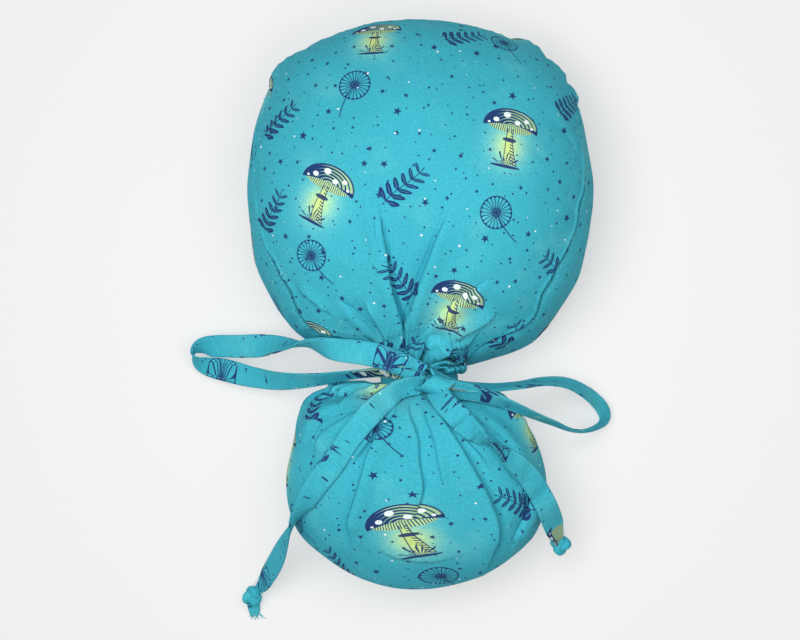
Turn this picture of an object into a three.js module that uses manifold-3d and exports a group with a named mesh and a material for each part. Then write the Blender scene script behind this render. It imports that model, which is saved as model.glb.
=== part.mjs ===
// A tied ponytail surgical cap, stuffed and lying on a table with its head opening down.
// Millimetres. +X is the wearer's right, +Y runs from the nape to the forehead, +Z is up off the table.
// The shapes are worked out from the middle of the tie, and the finished cap is then centred over the origin.
import * as THREE from "three";
import { mergeVertices } from "three/addons/utils/BufferGeometryUtils.js";
import Module from "manifold-3d";

const wasm = await Module();
wasm.setup();

// Crown, the large domed panel, and the head opening below it
const crownHalfWidth = 104;
const crownFrontReach = 106;
const crownNapeReach = 103;
const crownRise = 82;
const widestLineHeight = 30;
const crownOutlineSquareness = 2.45;
const domeSquareness = 2.5;
const napeSquareness = 1.75;
const openingInset = 13;
const openingTuck = 12;
const napeRimLift = 11;

// Neck, where the cloth is drawn together between the crown and the ponytail pouch
const neckHalfWidth = 19;
const neckHalfHeight = 12;
const neckHeight = 38;
const neckHalfLength = 5;
const neckFlare = 45;
const napeSpread = 38;
const underNeckSpread = 3;

// Ponytail pouch
const pouchLength = 126;
const pouchHalfWidth = 78.5;
const pouchHeight = 84;
const pouchSquareness = 2.25;

// Cloth and ties
const clothThickness = 1.6;
const bandThickness = 2.2;
const strapWidth = 14;
const strapThickness = 2;
const cinchWidth = 6;
const cinchThickness = 2.4;
const seamGap = 0.8;
const bandMargin = 0.5;
const tieClearance = 0.6;
const foldAllowance = 4.2;

// Bow knot and the small knots at the ends of the tie
const knotLength = 23;
const knotWidth = 15;
const knotThickness = 12;
const knotOffset = { x: 8, y: -2.5 };
const knotTurn = 22;
const knotLift = 4.5;
const endKnotLength = 11;
const endKnotWidth = 9;
const endKnotThickness = 8;

// How finely the cloth is divided
const crownLines = 60;
const crownSteps = 13;
const bandRows = 4;
const pouchLines = 38;
const pouchSteps = 13;
const strapSteps = 28;
const cinchSides = 32;

// Where the crown is sewn to the band. turn: degrees round from the forehead to the nape.
// drop: degrees down from the top of the dome, where 90 is its widest line.
const seamLine = [
  { turn: 0, drop: 97 },
  { turn: 45, drop: 92 },
  { turn: 62, drop: 82 },
  { turn: 90, drop: 69 },
  { turn: 125, drop: 60 },
  { turn: 150, drop: 62 },
  { turn: 180, drop: 82 },
];

// Cross-sections of the pouch. turn: degrees from its neck to its far end, 90 being halfway.
// width: share of the half width. top and bottom: shares of the height.
const pouchSections = [
  { turn: 0, width: 0.242, top: 0.595, bottom: 0.31 },
  { turn: 14, width: 0.5, top: 0.66, bottom: 0.19 },
  { turn: 27, width: 0.76, top: 0.76, bottom: 0.09 },
  { turn: 43, width: 0.88, top: 0.88, bottom: 0.02 },
  { turn: 62, width: 0.95, top: 0.97, bottom: 0 },
  { turn: 84, width: 1, top: 1, bottom: 0 },
  { turn: 104, width: 0.975, top: 0.96, bottom: 0 },
  { turn: 118, width: 0.86, top: 0.89, bottom: 0.01 },
  { turn: 132, width: 0.67, top: 0.79, bottom: 0.05 },
  { turn: 152, width: 0.36, top: 0.61, bottom: 0.14 },
  { turn: 180, width: 0, top: 0.37, bottom: 0.37 },
];

// Folds that run from the neck over the crown. near and far: degrees round the outline that the fold points to,
// at the neck and at its end. reach: share of the way to the seam. width: share of the crown's half width.
// height: share of the fold allowance.
const crownFolds = [
  { near: 122, far: 116, reach: 0.56, width: 0.034, height: 1 },
  { near: 108, far: 66, reach: 0.5, width: 0.032, height: 0.9 },
  { near: 150, far: 150, reach: 0.26, width: 0.03, height: 0.8 },
  { near: 178, far: 172, reach: 0.2, width: 0.03, height: 0.9 },
  { near: 208, far: 200, reach: 0.22, width: 0.035, height: 0.8 },
  { near: 60, far: 40, reach: 0.22, width: 0.03, height: 0.9 },
  { near: 28, far: 22, reach: 0.36, width: 0.05, height: 0.8 },
  { near: 4, far: 8, reach: 0.24, width: 0.035, height: 0.9 },
  { near: -26, far: -20, reach: 0.3, width: 0.04, height: 0.8 },
];

// Puffs where the crown is gathered into the front corners of the band. at: degrees round the outline.
// width: degrees. height: share of the fold allowance.
const crownGathers = [
  { at: 30, width: 4.5, height: 0.5 },
  { at: 41, width: 5, height: 0.8 },
  { at: 52, width: 4.5, height: 0.8 },
  { at: 64, width: 5, height: 0.35 },
  { at: 115, width: 5, height: 0.35 },
  { at: 126, width: 4.5, height: 0.6 },
  { at: 137, width: 5, height: 1 },
  { at: 149, width: 4.5, height: 0.5 },
];

// Folds that run from the neck over the pouch. near and far: degrees round from the top, at the neck and at the end.
// reach: share of the way to the far end. width: degrees. height: share of the fold allowance.
const pouchFolds = [
  { near: -70, far: -78, reach: 0.4, width: 7, height: 0.8 },
  { near: -46, far: -60, reach: 0.36, width: 6, height: 1.1 },
  { near: -26, far: -40, reach: 0.6, width: 5, height: 0.9 },
  { near: -12, far: -25, reach: 0.52, width: 4.5, height: 0.7 },
  { near: 1, far: -3, reach: 0.6, width: 4.5, height: 0.6 },
  { near: 16, far: 46, reach: 0.8, width: 5.5, height: 1 },
  { near: 40, far: 60, reach: 0.4, width: 6, height: 0.8 },
  { near: 64, far: 76, reach: 0.3, width: 7, height: 0.8 },
];

// Routes of the straps from the bow knot, as seen from above, as shares of the crown's half width.
// height: share of the neck's height, where nothing lies beneath to carry the strap higher.
// lean: degrees that the strap's width is turned up from lying flat.
const leftLoopRoute = [
  { x: 0.02, y: 0.02, height: 1.66, lean: -168 },
  { x: -0.1, y: 0.085, height: 1.6, lean: -176 },
  { x: -0.26, y: 0.14, height: 1.55, lean: -180 },
  { x: -0.45, y: 0.165, height: 1.4, lean: -172 },
  { x: -0.6, y: 0.185, height: 1.15, lean: -125 },
  { x: -0.7, y: 0.187, height: 0.95, lean: -80 },
  { x: -0.84, y: 0.188, height: 0.72, lean: -35 },
  { x: -1.02, y: 0.182, height: 0.5, lean: 4 },
  { x: -1.17, y: 0.182, height: 0.38, lean: 14 },
  { x: -1.27, y: 0.176, height: 0.3, lean: 48 },
  { x: -1.315, y: 0.135, height: 0.28, lean: 88 },
  { x: -1.27, y: 0.075, height: 0.28, lean: 132 },
  { x: -1.12, y: 0.04, height: 0.32, lean: 166 },
  { x: -0.98, y: 0.005, height: 0.4, lean: 156 },
  { x: -0.82, y: -0.016, height: 0.55, lean: 142 },
  { x: -0.64, y: -0.01, height: 0.76, lean: 128 },
  { x: -0.44, y: 0.016, height: 1.0, lean: 114 },
  { x: -0.26, y: 0.036, height: 1.2, lean: 112 },
  { x: -0.1, y: 0.035, height: 1.34, lean: 128 },
  { x: 0.02, y: -0.01, height: 1.4, lean: 150 },
];
const rightLoopRoute = [
  { x: 0.08, y: 0.02, height: 1.4, lean: 60 },
  { x: 0.2, y: -0.03, height: 1.36, lean: 66 },
  { x: 0.38, y: -0.045, height: 1.2, lean: 72 },
  { x: 0.55, y: -0.038, height: 0.98, lean: 74 },
  { x: 0.72, y: -0.02, height: 0.72, lean: 72 },
  { x: 0.86, y: -0.035, height: 0.5, lean: 64 },
  { x: 0.98, y: -0.095, height: 0.34, lean: 58 },
  { x: 1.055, y: -0.19, height: 0.28, lean: 56 },
  { x: 1.06, y: -0.26, height: 0.26, lean: 66 },
  { x: 0.99, y: -0.3, height: 0.26, lean: 78 },
  { x: 0.88, y: -0.3, height: 0.3, lean: 84 },
  { x: 0.75, y: -0.25, height: 0.5, lean: 76 },
  { x: 0.62, y: -0.195, height: 0.86, lean: 70 },
  { x: 0.47, y: -0.13, height: 1.2, lean: 62 },
  { x: 0.34, y: -0.085, height: 1.5, lean: 48 },
  { x: 0.22, y: -0.062, height: 1.6, lean: 40 },
  { x: 0.1, y: -0.05, height: 1.62, lean: 30 },
];
const leftTailRoute = [
  { x: 0.02, y: -0.03, height: 1.36, lean: 40 },
  { x: -0.09, y: -0.05, height: 1.3, lean: 34 },
  { x: -0.19, y: -0.11, height: 1.2, lean: 20 },
  { x: -0.29, y: -0.205, height: 0.2, lean: 6 },
  { x: -0.39, y: -0.325, height: 0.2, lean: 0 },
  { x: -0.48, y: -0.46, height: 0.2, lean: 0 },
  { x: -0.58, y: -0.59, height: 0.2, lean: 14 },
  { x: -0.65, y: -0.71, height: 0.2, lean: 40 },
  { x: -0.71, y: -0.82, height: 0.2, lean: 84 },
  { x: -0.775, y: -0.955, height: 0.2, lean: 122 },
  { x: -0.83, y: -1.065, height: 0.22, lean: 136 },
  { x: -0.9, y: -1.17, height: 0.2, lean: 126 },
  { x: -0.962, y: -1.24, height: 0.16, lean: 110 },
];
const rightTailRoute = [
  { x: 0.08, y: -0.05, height: 1.32, lean: -20 },
  { x: 0.135, y: -0.15, height: 1.2, lean: -10 },
  { x: 0.2, y: -0.22, height: 0.2, lean: -4 },
  { x: 0.28, y: -0.285, height: 0.2, lean: 0 },
  { x: 0.35, y: -0.335, height: 0.2, lean: -30 },
  { x: 0.41, y: -0.372, height: 0.2, lean: -80 },
  { x: 0.47, y: -0.415, height: 0.2, lean: -122 },
  { x: 0.55, y: -0.475, height: 0.2, lean: -146 },
  { x: 0.62, y: -0.555, height: 0.2, lean: -152 },
  { x: 0.68, y: -0.65, height: 0.2, lean: -156 },
  { x: 0.73, y: -0.755, height: 0.2, lean: -156 },
  { x: 0.775, y: -0.85, height: 0.2, lean: -150 },
  { x: 0.812, y: -0.94, height: 0.16, lean: -140 },
];

const crownCentreY = neckHalfLength + crownNapeReach;
const pouchStartY = -neckHalfLength;
const neckDisc = 0.97;
const casingSlit = 170;
const crownHem = 0.992;
const edgeTrim = 1.6;
const drapeSlope = 1.1;

const rad = THREE.MathUtils.degToRad;
const deg = THREE.MathUtils.radToDeg;
const clamp = THREE.MathUtils.clamp;
const up = new THREE.Vector3(0, 0, 1);

function ease(t) {
  const s = clamp(t, 0, 1);
  return s * s * (3 - 2 * s);
}

function bell(distance, width) {
  return Math.exp(-((distance / width) ** 2));
}

// A smooth curve through one column of a table.
function read(table, key, at, column) {
  const last = table.length - 1;
  let i = 0;
  while (i < last - 1 && at > table[i + 1][key]) i += 1;
  const [p, a, b, q] = [i - 1, i, i + 1, i + 2].map((k) => table[clamp(k, 0, last)]);
  const span = b[key] - a[key];
  const t = clamp((at - a[key]) / span, 0, 1);
  const slopeIn = (b[column] - p[column]) / (b[key] - p[key]);
  const slopeOut = (q[column] - a[column]) / (q[key] - a[key]);
  const h = t * t * (3 - 2 * t);
  const rise = t * (1 - t) * span * ((1 - t) * slopeIn - t * slopeOut);
  return a[column] + h * (b[column] - a[column]) + rise;
}

// Distance of the crown's outline from its centre, at a bearing where 90 degrees is the forehead.
function outlineReach(bearing) {
  const c = Math.abs(Math.cos(bearing)) / crownHalfWidth;
  const s = Math.abs(Math.sin(bearing)) / (Math.sin(bearing) > 0 ? crownFrontReach : crownNapeReach);
  return (c ** crownOutlineSquareness + s ** crownOutlineSquareness) ** (-1 / crownOutlineSquareness);
}

// Degrees round from the forehead, 0 to 180, of a bearing.
function turnFromFront(bearing) {
  return Math.abs(deg(Math.atan2(Math.cos(bearing), Math.sin(bearing))));
}

function squarenessAt(bearing) {
  const nape = ease((turnFromFront(bearing) - 100) / 80);
  return THREE.MathUtils.lerp(domeSquareness, napeSquareness, nape);
}

// A point of the cap's wall at a bearing, drop degrees down from the top of the dome: 90 is the widest line, 180 the rim.
function wallPoint(bearing, drop) {
  const reach = outlineReach(bearing);
  const power = 2 / squarenessAt(bearing);
  let share = 1;
  let height = widestLineHeight;
  if (drop <= 90) {
    share = Math.sin(rad(drop)) ** power;
    height += crownRise * Math.max(Math.cos(rad(drop)), 0) ** power;
  } else {
    const down = (drop - 90) / 90;
    const turn = turnFromFront(bearing);
    const inset = openingInset + openingTuck * ease(1 - turn / 80);
    const lift = napeRimLift * ease((turn - 110) / 60);
    share = 1 - (inset / reach) * down ** 1.8;
    height = THREE.MathUtils.lerp(widestLineHeight, lift, down);
  }
  return new THREE.Vector3(
    Math.cos(bearing) * reach * share,
    crownCentreY + Math.sin(bearing) * reach * share,
    height,
  );
}

function seamDrop(bearing) {
  return read(seamLine, "turn", turnFromFront(bearing), "drop");
}

// A point of the dome from a place in a unit disc whose rim is the seam.
function domePoint(disc) {
  const bearing = Math.atan2(disc.y, disc.x);
  return wallPoint(bearing, Math.min(disc.length(), 1) * seamDrop(bearing));
}

function neckPoint(angle, y) {
  return new THREE.Vector3(
    neckHalfWidth * Math.sin(angle),
    y,
    neckHeight + neckHalfHeight * Math.cos(angle),
  );
}

const neckInDisc = new THREE.Vector2(0, -neckDisc);
const neckOnDome = domePoint(neckInDisc);
const sideReach = 180 - napeSpread;

// Height of the crown's folds and gathers over its smooth form.
function crownRelief(bearingDeg, share, disc) {
  let height = 0;
  for (const fold of crownFolds) {
    const way = share / fold.reach;
    const line = fold.near + (fold.far - fold.near) * Math.sqrt(clamp(way, 0, 1));
    const apart = rad(bearingDeg - line) * 0.5 * share * 2 * crownHalfWidth;
    const fade = ease(share / 0.14) * ease((1 - way) * 2.2);
    height += fold.height * fade * bell(apart, fold.width * crownHalfWidth);
  }
  const bearing = deg(Math.atan2(disc.y, disc.x));
  const nearSeam = ease((disc.length() - 0.74) / 0.16) * ease((1 - disc.length()) / 0.05);
  for (const puff of crownGathers) {
    height += puff.height * nearSeam * bell(bearing - puff.at, puff.width);
  }
  return height * foldAllowance;
}

// A point of the crown on the line from the neck to a bearing of the seam, at a share of the way.
function crownPoint(bearingDeg, share) {
  const target = new THREE.Vector2(Math.cos(rad(bearingDeg)), Math.sin(rad(bearingDeg)));
  const disc = neckInDisc.clone().lerp(target, share);
  const round = (rad(casingSlit) * (90 - bearingDeg)) / sideReach;
  const start = neckPoint(round, neckHalfLength).sub(neckOnDome);
  const away = disc.distanceTo(neckInDisc) * crownNapeReach;
  const point = domePoint(disc);
  const middle = new THREE.Vector3(0, crownCentreY, widestLineHeight * 0.6);
  const out = point.clone().sub(middle).normalize();
  point.addScaledVector(out, crownRelief(bearingDeg, share, disc));
  return point.addScaledVector(start, 1 - ease(away / neckFlare));
}

// The upper edge of the band, at a bearing counted in degrees from the nape: under the neck, then up the crown's edge.
function bandTop(fromNape) {
  const side = Math.sign(fromNape);
  const away = Math.abs(fromNape);
  if (away >= napeSpread) {
    return crownPoint(-90 + fromNape, 1);
  }
  if (away < underNeckSpread) {
    return neckPoint(rad(180 - ((180 - casingSlit) * away) / underNeckSpread) * side, neckHalfLength);
  }
  const edge = side > 0 ? -90 + napeSpread : 270 - napeSpread;
  return crownPoint(edge, (away - underNeckSpread) / (napeSpread - underNeckSpread));
}

function bandPoint(fromNape, share) {
  const bearing = rad(-90 + fromNape);
  const start = seamDrop(bearing);
  const point = wallPoint(bearing, start + (180 - start) * share);
  const correction = bandTop(fromNape).sub(wallPoint(bearing, start));
  return point.addScaledVector(correction, 1 - share);
}

function pouchSize(turn) {
  return {
    halfWidth: read(pouchSections, "turn", turn, "width") * pouchHalfWidth,
    top: read(pouchSections, "turn", turn, "top") * pouchHeight,
    bottom: Math.max(read(pouchSections, "turn", turn, "bottom"), 0) * pouchHeight,
  };
}

function pouchRelief(angleDeg, share, halfWidth) {
  let height = 0;
  for (const fold of pouchFolds) {
    const way = share / fold.reach;
    const line = fold.near + (fold.far - fold.near) * Math.sqrt(clamp(way, 0, 1));
    const fade = ease(share / 0.08) * ease((1 - way) * 2);
    const narrow = THREE.MathUtils.lerp(1.4, 1, halfWidth / pouchHalfWidth);
    height += fold.height * fade * bell(angleDeg - line, fold.width * narrow);
  }
  return height * foldAllowance * ease(1.6 - share);
}

// A point of the pouch, turn degrees from its neck to its far end and angle degrees round from its top.
function pouchPoint(angleDeg, turn) {
  const { halfWidth, top, bottom } = pouchSize(turn);
  const pastNeck = ease(turn / 40);
  const middle = bottom + (top - bottom) * THREE.MathUtils.lerp(0.5, 0.44, pastNeck);
  const sine = Math.sin(rad(angleDeg));
  const cosine = Math.cos(rad(angleDeg));
  const power = 2 / THREE.MathUtils.lerp(2, pouchSquareness, pastNeck);
  const half = cosine > 0 ? top - middle : middle - bottom;
  const relief = cosine > 0 ? pouchRelief(angleDeg, turn / 180, halfWidth) : 0;
  return new THREE.Vector3(
    Math.sign(sine) * Math.abs(sine) ** power * (halfWidth + relief * 0.4),
    pouchStartY - (pouchLength * (1 - Math.cos(rad(turn)))) / 2,
    middle + Math.sign(cosine) * Math.abs(cosine) ** power * (half + relief),
  );
}

// A closed mesh from a grid of corner indices, with no two corners of a triangle alike.
function meshFrom(points, triangles) {
  const geometry = new THREE.BufferGeometry();
  const flat = points.flatMap((p) => [p.x, p.y, p.z]);
  geometry.setAttribute("position", new THREE.Float32BufferAttribute(flat, 3));
  geometry.setIndex(triangles.filter(([a, b, c]) => a !== b && b !== c && a !== c).flat());
  return geometry;
}

// Cloth of one thickness: grid[i][j] are points of its outer face, and towards is a point inside the bag that it forms.
// extra is a margin on both faces and past the ends, trim is taken off the side edges, and a flat hem ends level.
function cloth(grid, thickness, options = {}) {
  const { closedRound = false, endsInPoint = false, flatHem = false, extra = 0, trim = 0 } = options;
  const rows = grid.length;
  const columns = grid[0].length;
  const points = [];
  const outer = [];
  const inner = [];
  for (let i = 0; i < rows; i += 1) {
    outer.push([]);
    inner.push([]);
    for (let j = 0; j < columns; j += 1) {
      const isTip = endsInPoint && j === columns - 1;
      if (isTip && i > 0) {
        outer[i].push(outer[0][j]);
        inner[i].push(inner[0][j]);
        continue;
      }
      const before = grid[closedRound ? (i + rows - 1) % rows : Math.max(i - 1, 0)][j];
      const after = grid[closedRound ? (i + 1) % rows : Math.min(i + 1, rows - 1)][j];
      const back = grid[i][Math.max(j - 1, 0)];
      const ahead = grid[i][Math.min(j + 1, columns - 1)];
      const across = after.clone().sub(before);
      const along = ahead.clone().sub(back);
      const normal = isTip ? new THREE.Vector3(0, -1, 0) : across.clone().cross(along).normalize();
      const end = (j === columns - 1) - (j === 0);
      const edge = closedRound ? 0 : (i === rows - 1) - (i === 0);
      const base = grid[i][j].clone().addScaledVector(along.normalize(), end * extra);
      base.addScaledVector(across.normalize(), edge * (extra - trim));
      outer[i].push(points.length);
      points.push(base.clone().addScaledVector(normal, extra));
      inner[i].push(points.length);
      const lining = base.clone().addScaledVector(normal, -thickness - extra);
      if (flatHem && j === columns - 1) {
        lining.z = base.z;
      }
      points.push(lining);
    }
  }
  const triangles = [];
  const quad = (a, b, c, d) => triangles.push([a, b, c], [a, c, d]);
  const spans = closedRound ? rows : rows - 1;
  for (let i = 0; i < spans; i += 1) {
    const k = (i + 1) % rows;
    for (let j = 0; j < columns - 1; j += 1) {
      quad(outer[i][j], outer[k][j], outer[k][j + 1], outer[i][j + 1]);
      quad(inner[i][j + 1], inner[k][j + 1], inner[k][j], inner[i][j]);
    }
    quad(inner[i][0], inner[k][0], outer[k][0], outer[i][0]);
    const end = columns - 1;
    quad(outer[i][end], outer[k][end], inner[k][end], inner[i][end]);
  }
  if (!closedRound) {
    const last = rows - 1;
    for (let j = 0; j < columns - 1; j += 1) {
      quad(outer[0][j], outer[0][j + 1], inner[0][j + 1], inner[0][j]);
      quad(inner[last][j], inner[last][j + 1], outer[last][j + 1], outer[last][j]);
    }
  }
  return meshFrom(points, triangles);
}

// A solid skin through rings of points, closed at both ends.
function loft(rings) {
  const sides = rings[0].length;
  const points = rings.flat();
  const triangles = [];
  for (let i = 0; i < rings.length - 1; i += 1) {
    for (let k = 0; k < sides; k += 1) {
      const a = i * sides + k;
      const b = i * sides + ((k + 1) % sides);
      triangles.push([a, b, b + sides], [a, b + sides, a + sides]);
    }
  }
  const end = (rings.length - 1) * sides;
  for (let k = 1; k < sides - 1; k += 1) {
    triangles.push([0, k + 1, k], [end, end + k, end + k + 1]);
  }
  return meshFrom(points, triangles);
}

function solid(geometry) {
  const bare = geometry.clone();
  bare.deleteAttribute("normal");
  bare.deleteAttribute("uv");
  const merged = mergeVertices(bare, 1e-4);
  return new wasm.Manifold(
    new wasm.Mesh({
      numProp: 3,
      vertProperties: merged.attributes.position.array,
      triVerts: new Uint32Array(merged.index.array),
    }),
  );
}

function geometryOf(body) {
  const mesh = body.getMesh();
  const geometry = new THREE.BufferGeometry();
  geometry.setAttribute("position", new THREE.BufferAttribute(mesh.vertProperties, 3));
  geometry.setIndex(new THREE.BufferAttribute(mesh.triVerts, 1));
  return geometry;
}

function crownGrid() {
  const grid = [];
  for (let i = 0; i <= crownLines; i += 1) {
    const bearing = 90 + sideReach * crownHem * (1 - (2 * i) / crownLines);
    const line = [neckTube(bearing)];
    for (let j = 0; j <= crownSteps; j += 1) {
      const point = crownPoint(bearing, crownHem * (j / crownSteps) ** 1.15);
      point.z += seamGap;
      line.push(point);
    }
    grid.push(line);
  }
  return grid;
}

// The straight collar of the neck that the tie closes on, ahead of the fanned lines.
function neckTube(bearingDeg) {
  const point = neckPoint((rad(casingSlit) * (90 - bearingDeg)) / sideReach, seamGap);
  point.z += seamGap;
  return point;
}

// Places round the band, in degrees from the nape, so that its upper edge meets the crown's edge point for point.
function bandPlaces() {
  const places = [];
  for (let i = 0; i <= crownLines; i += 1) {
    const bearing = 90 + sideReach * (1 - (2 * i) / crownLines);
    places.push(bearing > 90 ? bearing - 270 : bearing + 90);
  }
  const nape = [];
  for (let j = 0; j < crownSteps; j += 1) {
    nape.push(underNeckSpread + (napeSpread - underNeckSpread) * (j / crownSteps) ** 1.15);
  }
  return [...places, ...nape.toReversed(), ...nape.map((away) => -away)];
}

function bandGrid() {
  return bandPlaces().map((fromNape) => {
    const column = [];
    for (let j = 0; j <= bandRows; j += 1) {
      column.push(bandPoint(fromNape, j / bandRows));
    }
    return column;
  });
}

function pouchGrid() {
  const grid = [];
  for (let i = 0; i < pouchLines; i += 1) {
    // lines are closer together on top, where the folds are
    const round = 1 - (2 * i) / pouchLines;
    const angle = 180 * round * (0.55 + 0.45 * Math.abs(round));
    const line = [];
    const collar = pouchPoint(angle, 0);
    collar.y = -seamGap;
    line.push(collar);
    for (let j = 0; j <= pouchSteps; j += 1) {
      line.push(pouchPoint(angle, (180 * j) / pouchSteps));
    }
    grid.push(line);
  }
  return grid;
}

// The faces of the cloth that look up, for finding how high a strap is carried.
function facesUp(body) {
  const mesh = body.getMesh();
  const faces = [];
  for (let i = 0; i < mesh.triVerts.length; i += 3) {
    const [a, b, c] = [0, 1, 2].map((k) => {
      const v = mesh.triVerts[i + k] * mesh.numProp;
      return mesh.vertProperties.slice(v, v + 3);
    });
    const area = (b[0] - a[0]) * (c[1] - a[1]) - (b[1] - a[1]) * (c[0] - a[0]);
    if (area > 1e-6) {
      faces.push({ a, b, c, area });
    }
  }
  return faces;
}

function heightBelow(x, y) {
  let height = 0;
  for (const { a, b, c, area } of clothFaces) {
    if (Math.max(a[0], b[0], c[0]) < x || Math.min(a[0], b[0], c[0]) > x) {
      continue;
    }
    const toA = ((b[0] - x) * (c[1] - y) - (b[1] - y) * (c[0] - x)) / area;
    const toB = ((c[0] - x) * (a[1] - y) - (c[1] - y) * (a[0] - x)) / area;
    const toC = 1 - toA - toB;
    if (toA >= 0 && toB >= 0 && toC >= 0) {
      height = Math.max(height, toA * a[2] + toB * b[2] + toC * c[2] + tieClearance * 1.5);
    }
  }
  return height;
}

// Stations along a strap. Each holds the strap's middle and the directions of its width and of its thickness.
function strapStations(route) {
  const table = route.map((row, at) => ({ ...row, at }));
  const stations = [];
  for (let k = 0; k <= strapSteps; k += 1) {
    const at = ((route.length - 1) * k) / strapSteps;
    const [x, y, height, lean] = ["x", "y", "height", "lean"].map((column) => read(table, "at", at, column));
    const middle = new THREE.Vector3(x * crownHalfWidth, y * crownHalfWidth, height * neckHeight);
    stations.push({ middle, lean: rad(lean) });
  }
  stations.forEach((station, k) => {
    const ahead = stations[Math.min(k + 1, strapSteps)].middle;
    const back = stations[Math.max(k - 1, 0)].middle;
    station.level = new THREE.Vector3(ahead.y - back.y, back.x - ahead.x, 0).normalize();
  });
  for (const station of stations) {
    let lowest = 0;
    for (const side of [-1, -0.6, -0.2, 0.2, 0.6, 1]) {
      const out = (side * strapWidth) / 2;
      const rise = out * Math.sin(station.lean);
      const half = (strapThickness / 2) * Math.abs(Math.cos(station.lean));
      for (const margin of [-2, 0, 2]) {
        const sideways = out * Math.cos(station.lean) + margin;
        const place = station.middle.clone().addScaledVector(station.level, sideways);
        lowest = Math.max(lowest, heightBelow(place.x, place.y) - rise + half);
      }
    }
    station.lowest = lowest;
  }
  // where it crosses an edge the strap slopes down to the table
  for (const station of stations) {
    let height = station.middle.z;
    for (const other of stations) {
      const apart = Math.hypot(station.middle.x - other.middle.x, station.middle.y - other.middle.y);
      height = Math.max(height, other.lowest - drapeSlope * apart);
    }
    station.draped = height;
  }
  stations.forEach((station) => {
    station.middle.z = station.draped;
  });
  stations.forEach((station, k) => {
    const ahead = stations[Math.min(k + 1, strapSteps)].middle;
    const back = stations[Math.max(k - 1, 0)].middle;
    const along = ahead.clone().sub(back).normalize();
    const level = along.clone().cross(up).normalize();
    const rise = level.clone().cross(along).normalize();
    const { lean } = station;
    station.wide = level.clone().multiplyScalar(Math.cos(lean)).addScaledVector(rise, Math.sin(lean));
    station.along = along;
    station.thick = along.clone().cross(station.wide).normalize();
  });
  return stations;
}

// A folded strap, with its edges rounded over, along a route.
function strap(route, extra = 0) {
  const section = [];
  for (let k = 0; k < 8; k += 1) {
    const angle = (Math.PI * (2 * k + 1)) / 8;
    const corner = { x: Math.cos(angle), y: Math.sin(angle) };
    section.push({
      x: Math.sign(corner.x) * (Math.abs(corner.x) > 0.5 ? 1 : 0.88),
      y: Math.sign(corner.y) * (Math.abs(corner.x) > 0.5 ? 0.45 : 1),
    });
  }
  const wide = strapWidth / 2 + extra;
  const thick = strapThickness / 2 + extra;
  const stations = strapStations(route);
  const rings = stations.map((station, k) =>
    section.map(({ x, y }) =>
      station.middle
        .clone()
        .addScaledVector(station.along, extra * ((k === strapSteps) - (k === 0)))
        .addScaledVector(station.wide, x * wide)
        .addScaledVector(station.thick, y * thick),
    ),
  );
  return solid(loft(rings));
}

function largest(body) {
  return body.decompose().reduce((a, b) => (a.volume() > b.volume() ? a : b));
}

// A pulled-tight knot: a rounded lump with the strap's creases across it, lying along +X.
function knotShape(length, width, thickness, extra = 0) {
  const rings = [];
  const count = 9;
  const sides = 12;
  for (let i = 0; i <= count; i += 1) {
    const t = (Math.PI * (i + 0.35)) / (count + 0.7);
    const size = Math.sin(t) ** 0.55;
    const crease = 1 - 0.07 * Math.cos((i - count / 2) * 1.9);
    const ring = [];
    for (let k = 0; k < sides; k += 1) {
      const angle = (2 * Math.PI * k) / sides;
      const c = Math.cos(angle);
      const n = Math.sin(angle);
      ring.push(
        new THREE.Vector3(
          -Math.cos(t) * (length / 2 + extra),
          Math.sign(c) * Math.abs(c) ** 0.8 * (width / 2 + extra) * size * crease,
          Math.sign(n) * Math.abs(n) ** 0.8 * (thickness / 2 + extra) * size,
        ),
      );
    }
    rings.push(ring);
  }
  return solid(loft(rings));
}

function bowKnot(extra = 0) {
  return knotShape(knotLength, knotWidth, knotThickness, extra)
    .rotate([0, 0, knotTurn])
    .translate([knotOffset.x, knotOffset.y, knotHeight]);
}

function cinch() {
  const rings = [];
  for (let i = 0; i < cinchSides; i += 1) {
    const angle = (2 * Math.PI * i) / cinchSides;
    const inside = tieClearance + 0.9;
    const ring = [];
    const corners = [
      [-cinchWidth / 2, 0],
      [cinchWidth / 2, 0],
      [cinchWidth / 2, cinchThickness * 0.6],
      [0, cinchThickness],
      [-cinchWidth / 2, cinchThickness * 0.6],
    ];
    for (const [y, out] of corners) {
      const grow = inside + out;
      ring.push(
        new THREE.Vector3(
          (neckHalfWidth + grow) * Math.sin(angle),
          y,
          neckHeight + seamGap / 2 + (neckHalfHeight + grow) * Math.cos(angle),
        ),
      );
    }
    rings.push(ring);
  }
  const points = rings.flat();
  const triangles = [];
  const sides = rings[0].length;
  for (let i = 0; i < cinchSides; i += 1) {
    for (let k = 0; k < sides; k += 1) {
      const a = i * sides + k;
      const b = i * sides + ((k + 1) % sides);
      const c = ((i + 1) % cinchSides) * sides + ((k + 1) % sides);
      const d = ((i + 1) % cinchSides) * sides + k;
      triangles.push([a, b, c], [a, c, d]);
    }
  }
  return solid(meshFrom(points, triangles));
}

function endKnot(route) {
  const stations = strapStations(route);
  const end = stations[strapSteps].middle;
  const back = stations[strapSteps - 2].middle;
  const turn = deg(Math.atan2(end.y - back.y, end.x - back.x));
  return knotShape(endKnotLength, endKnotWidth, endKnotThickness)
    .rotate([0, 0, turn])
    .translate([end.x, end.y, Math.max(end.z, endKnotThickness / 2)]);
}

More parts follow.
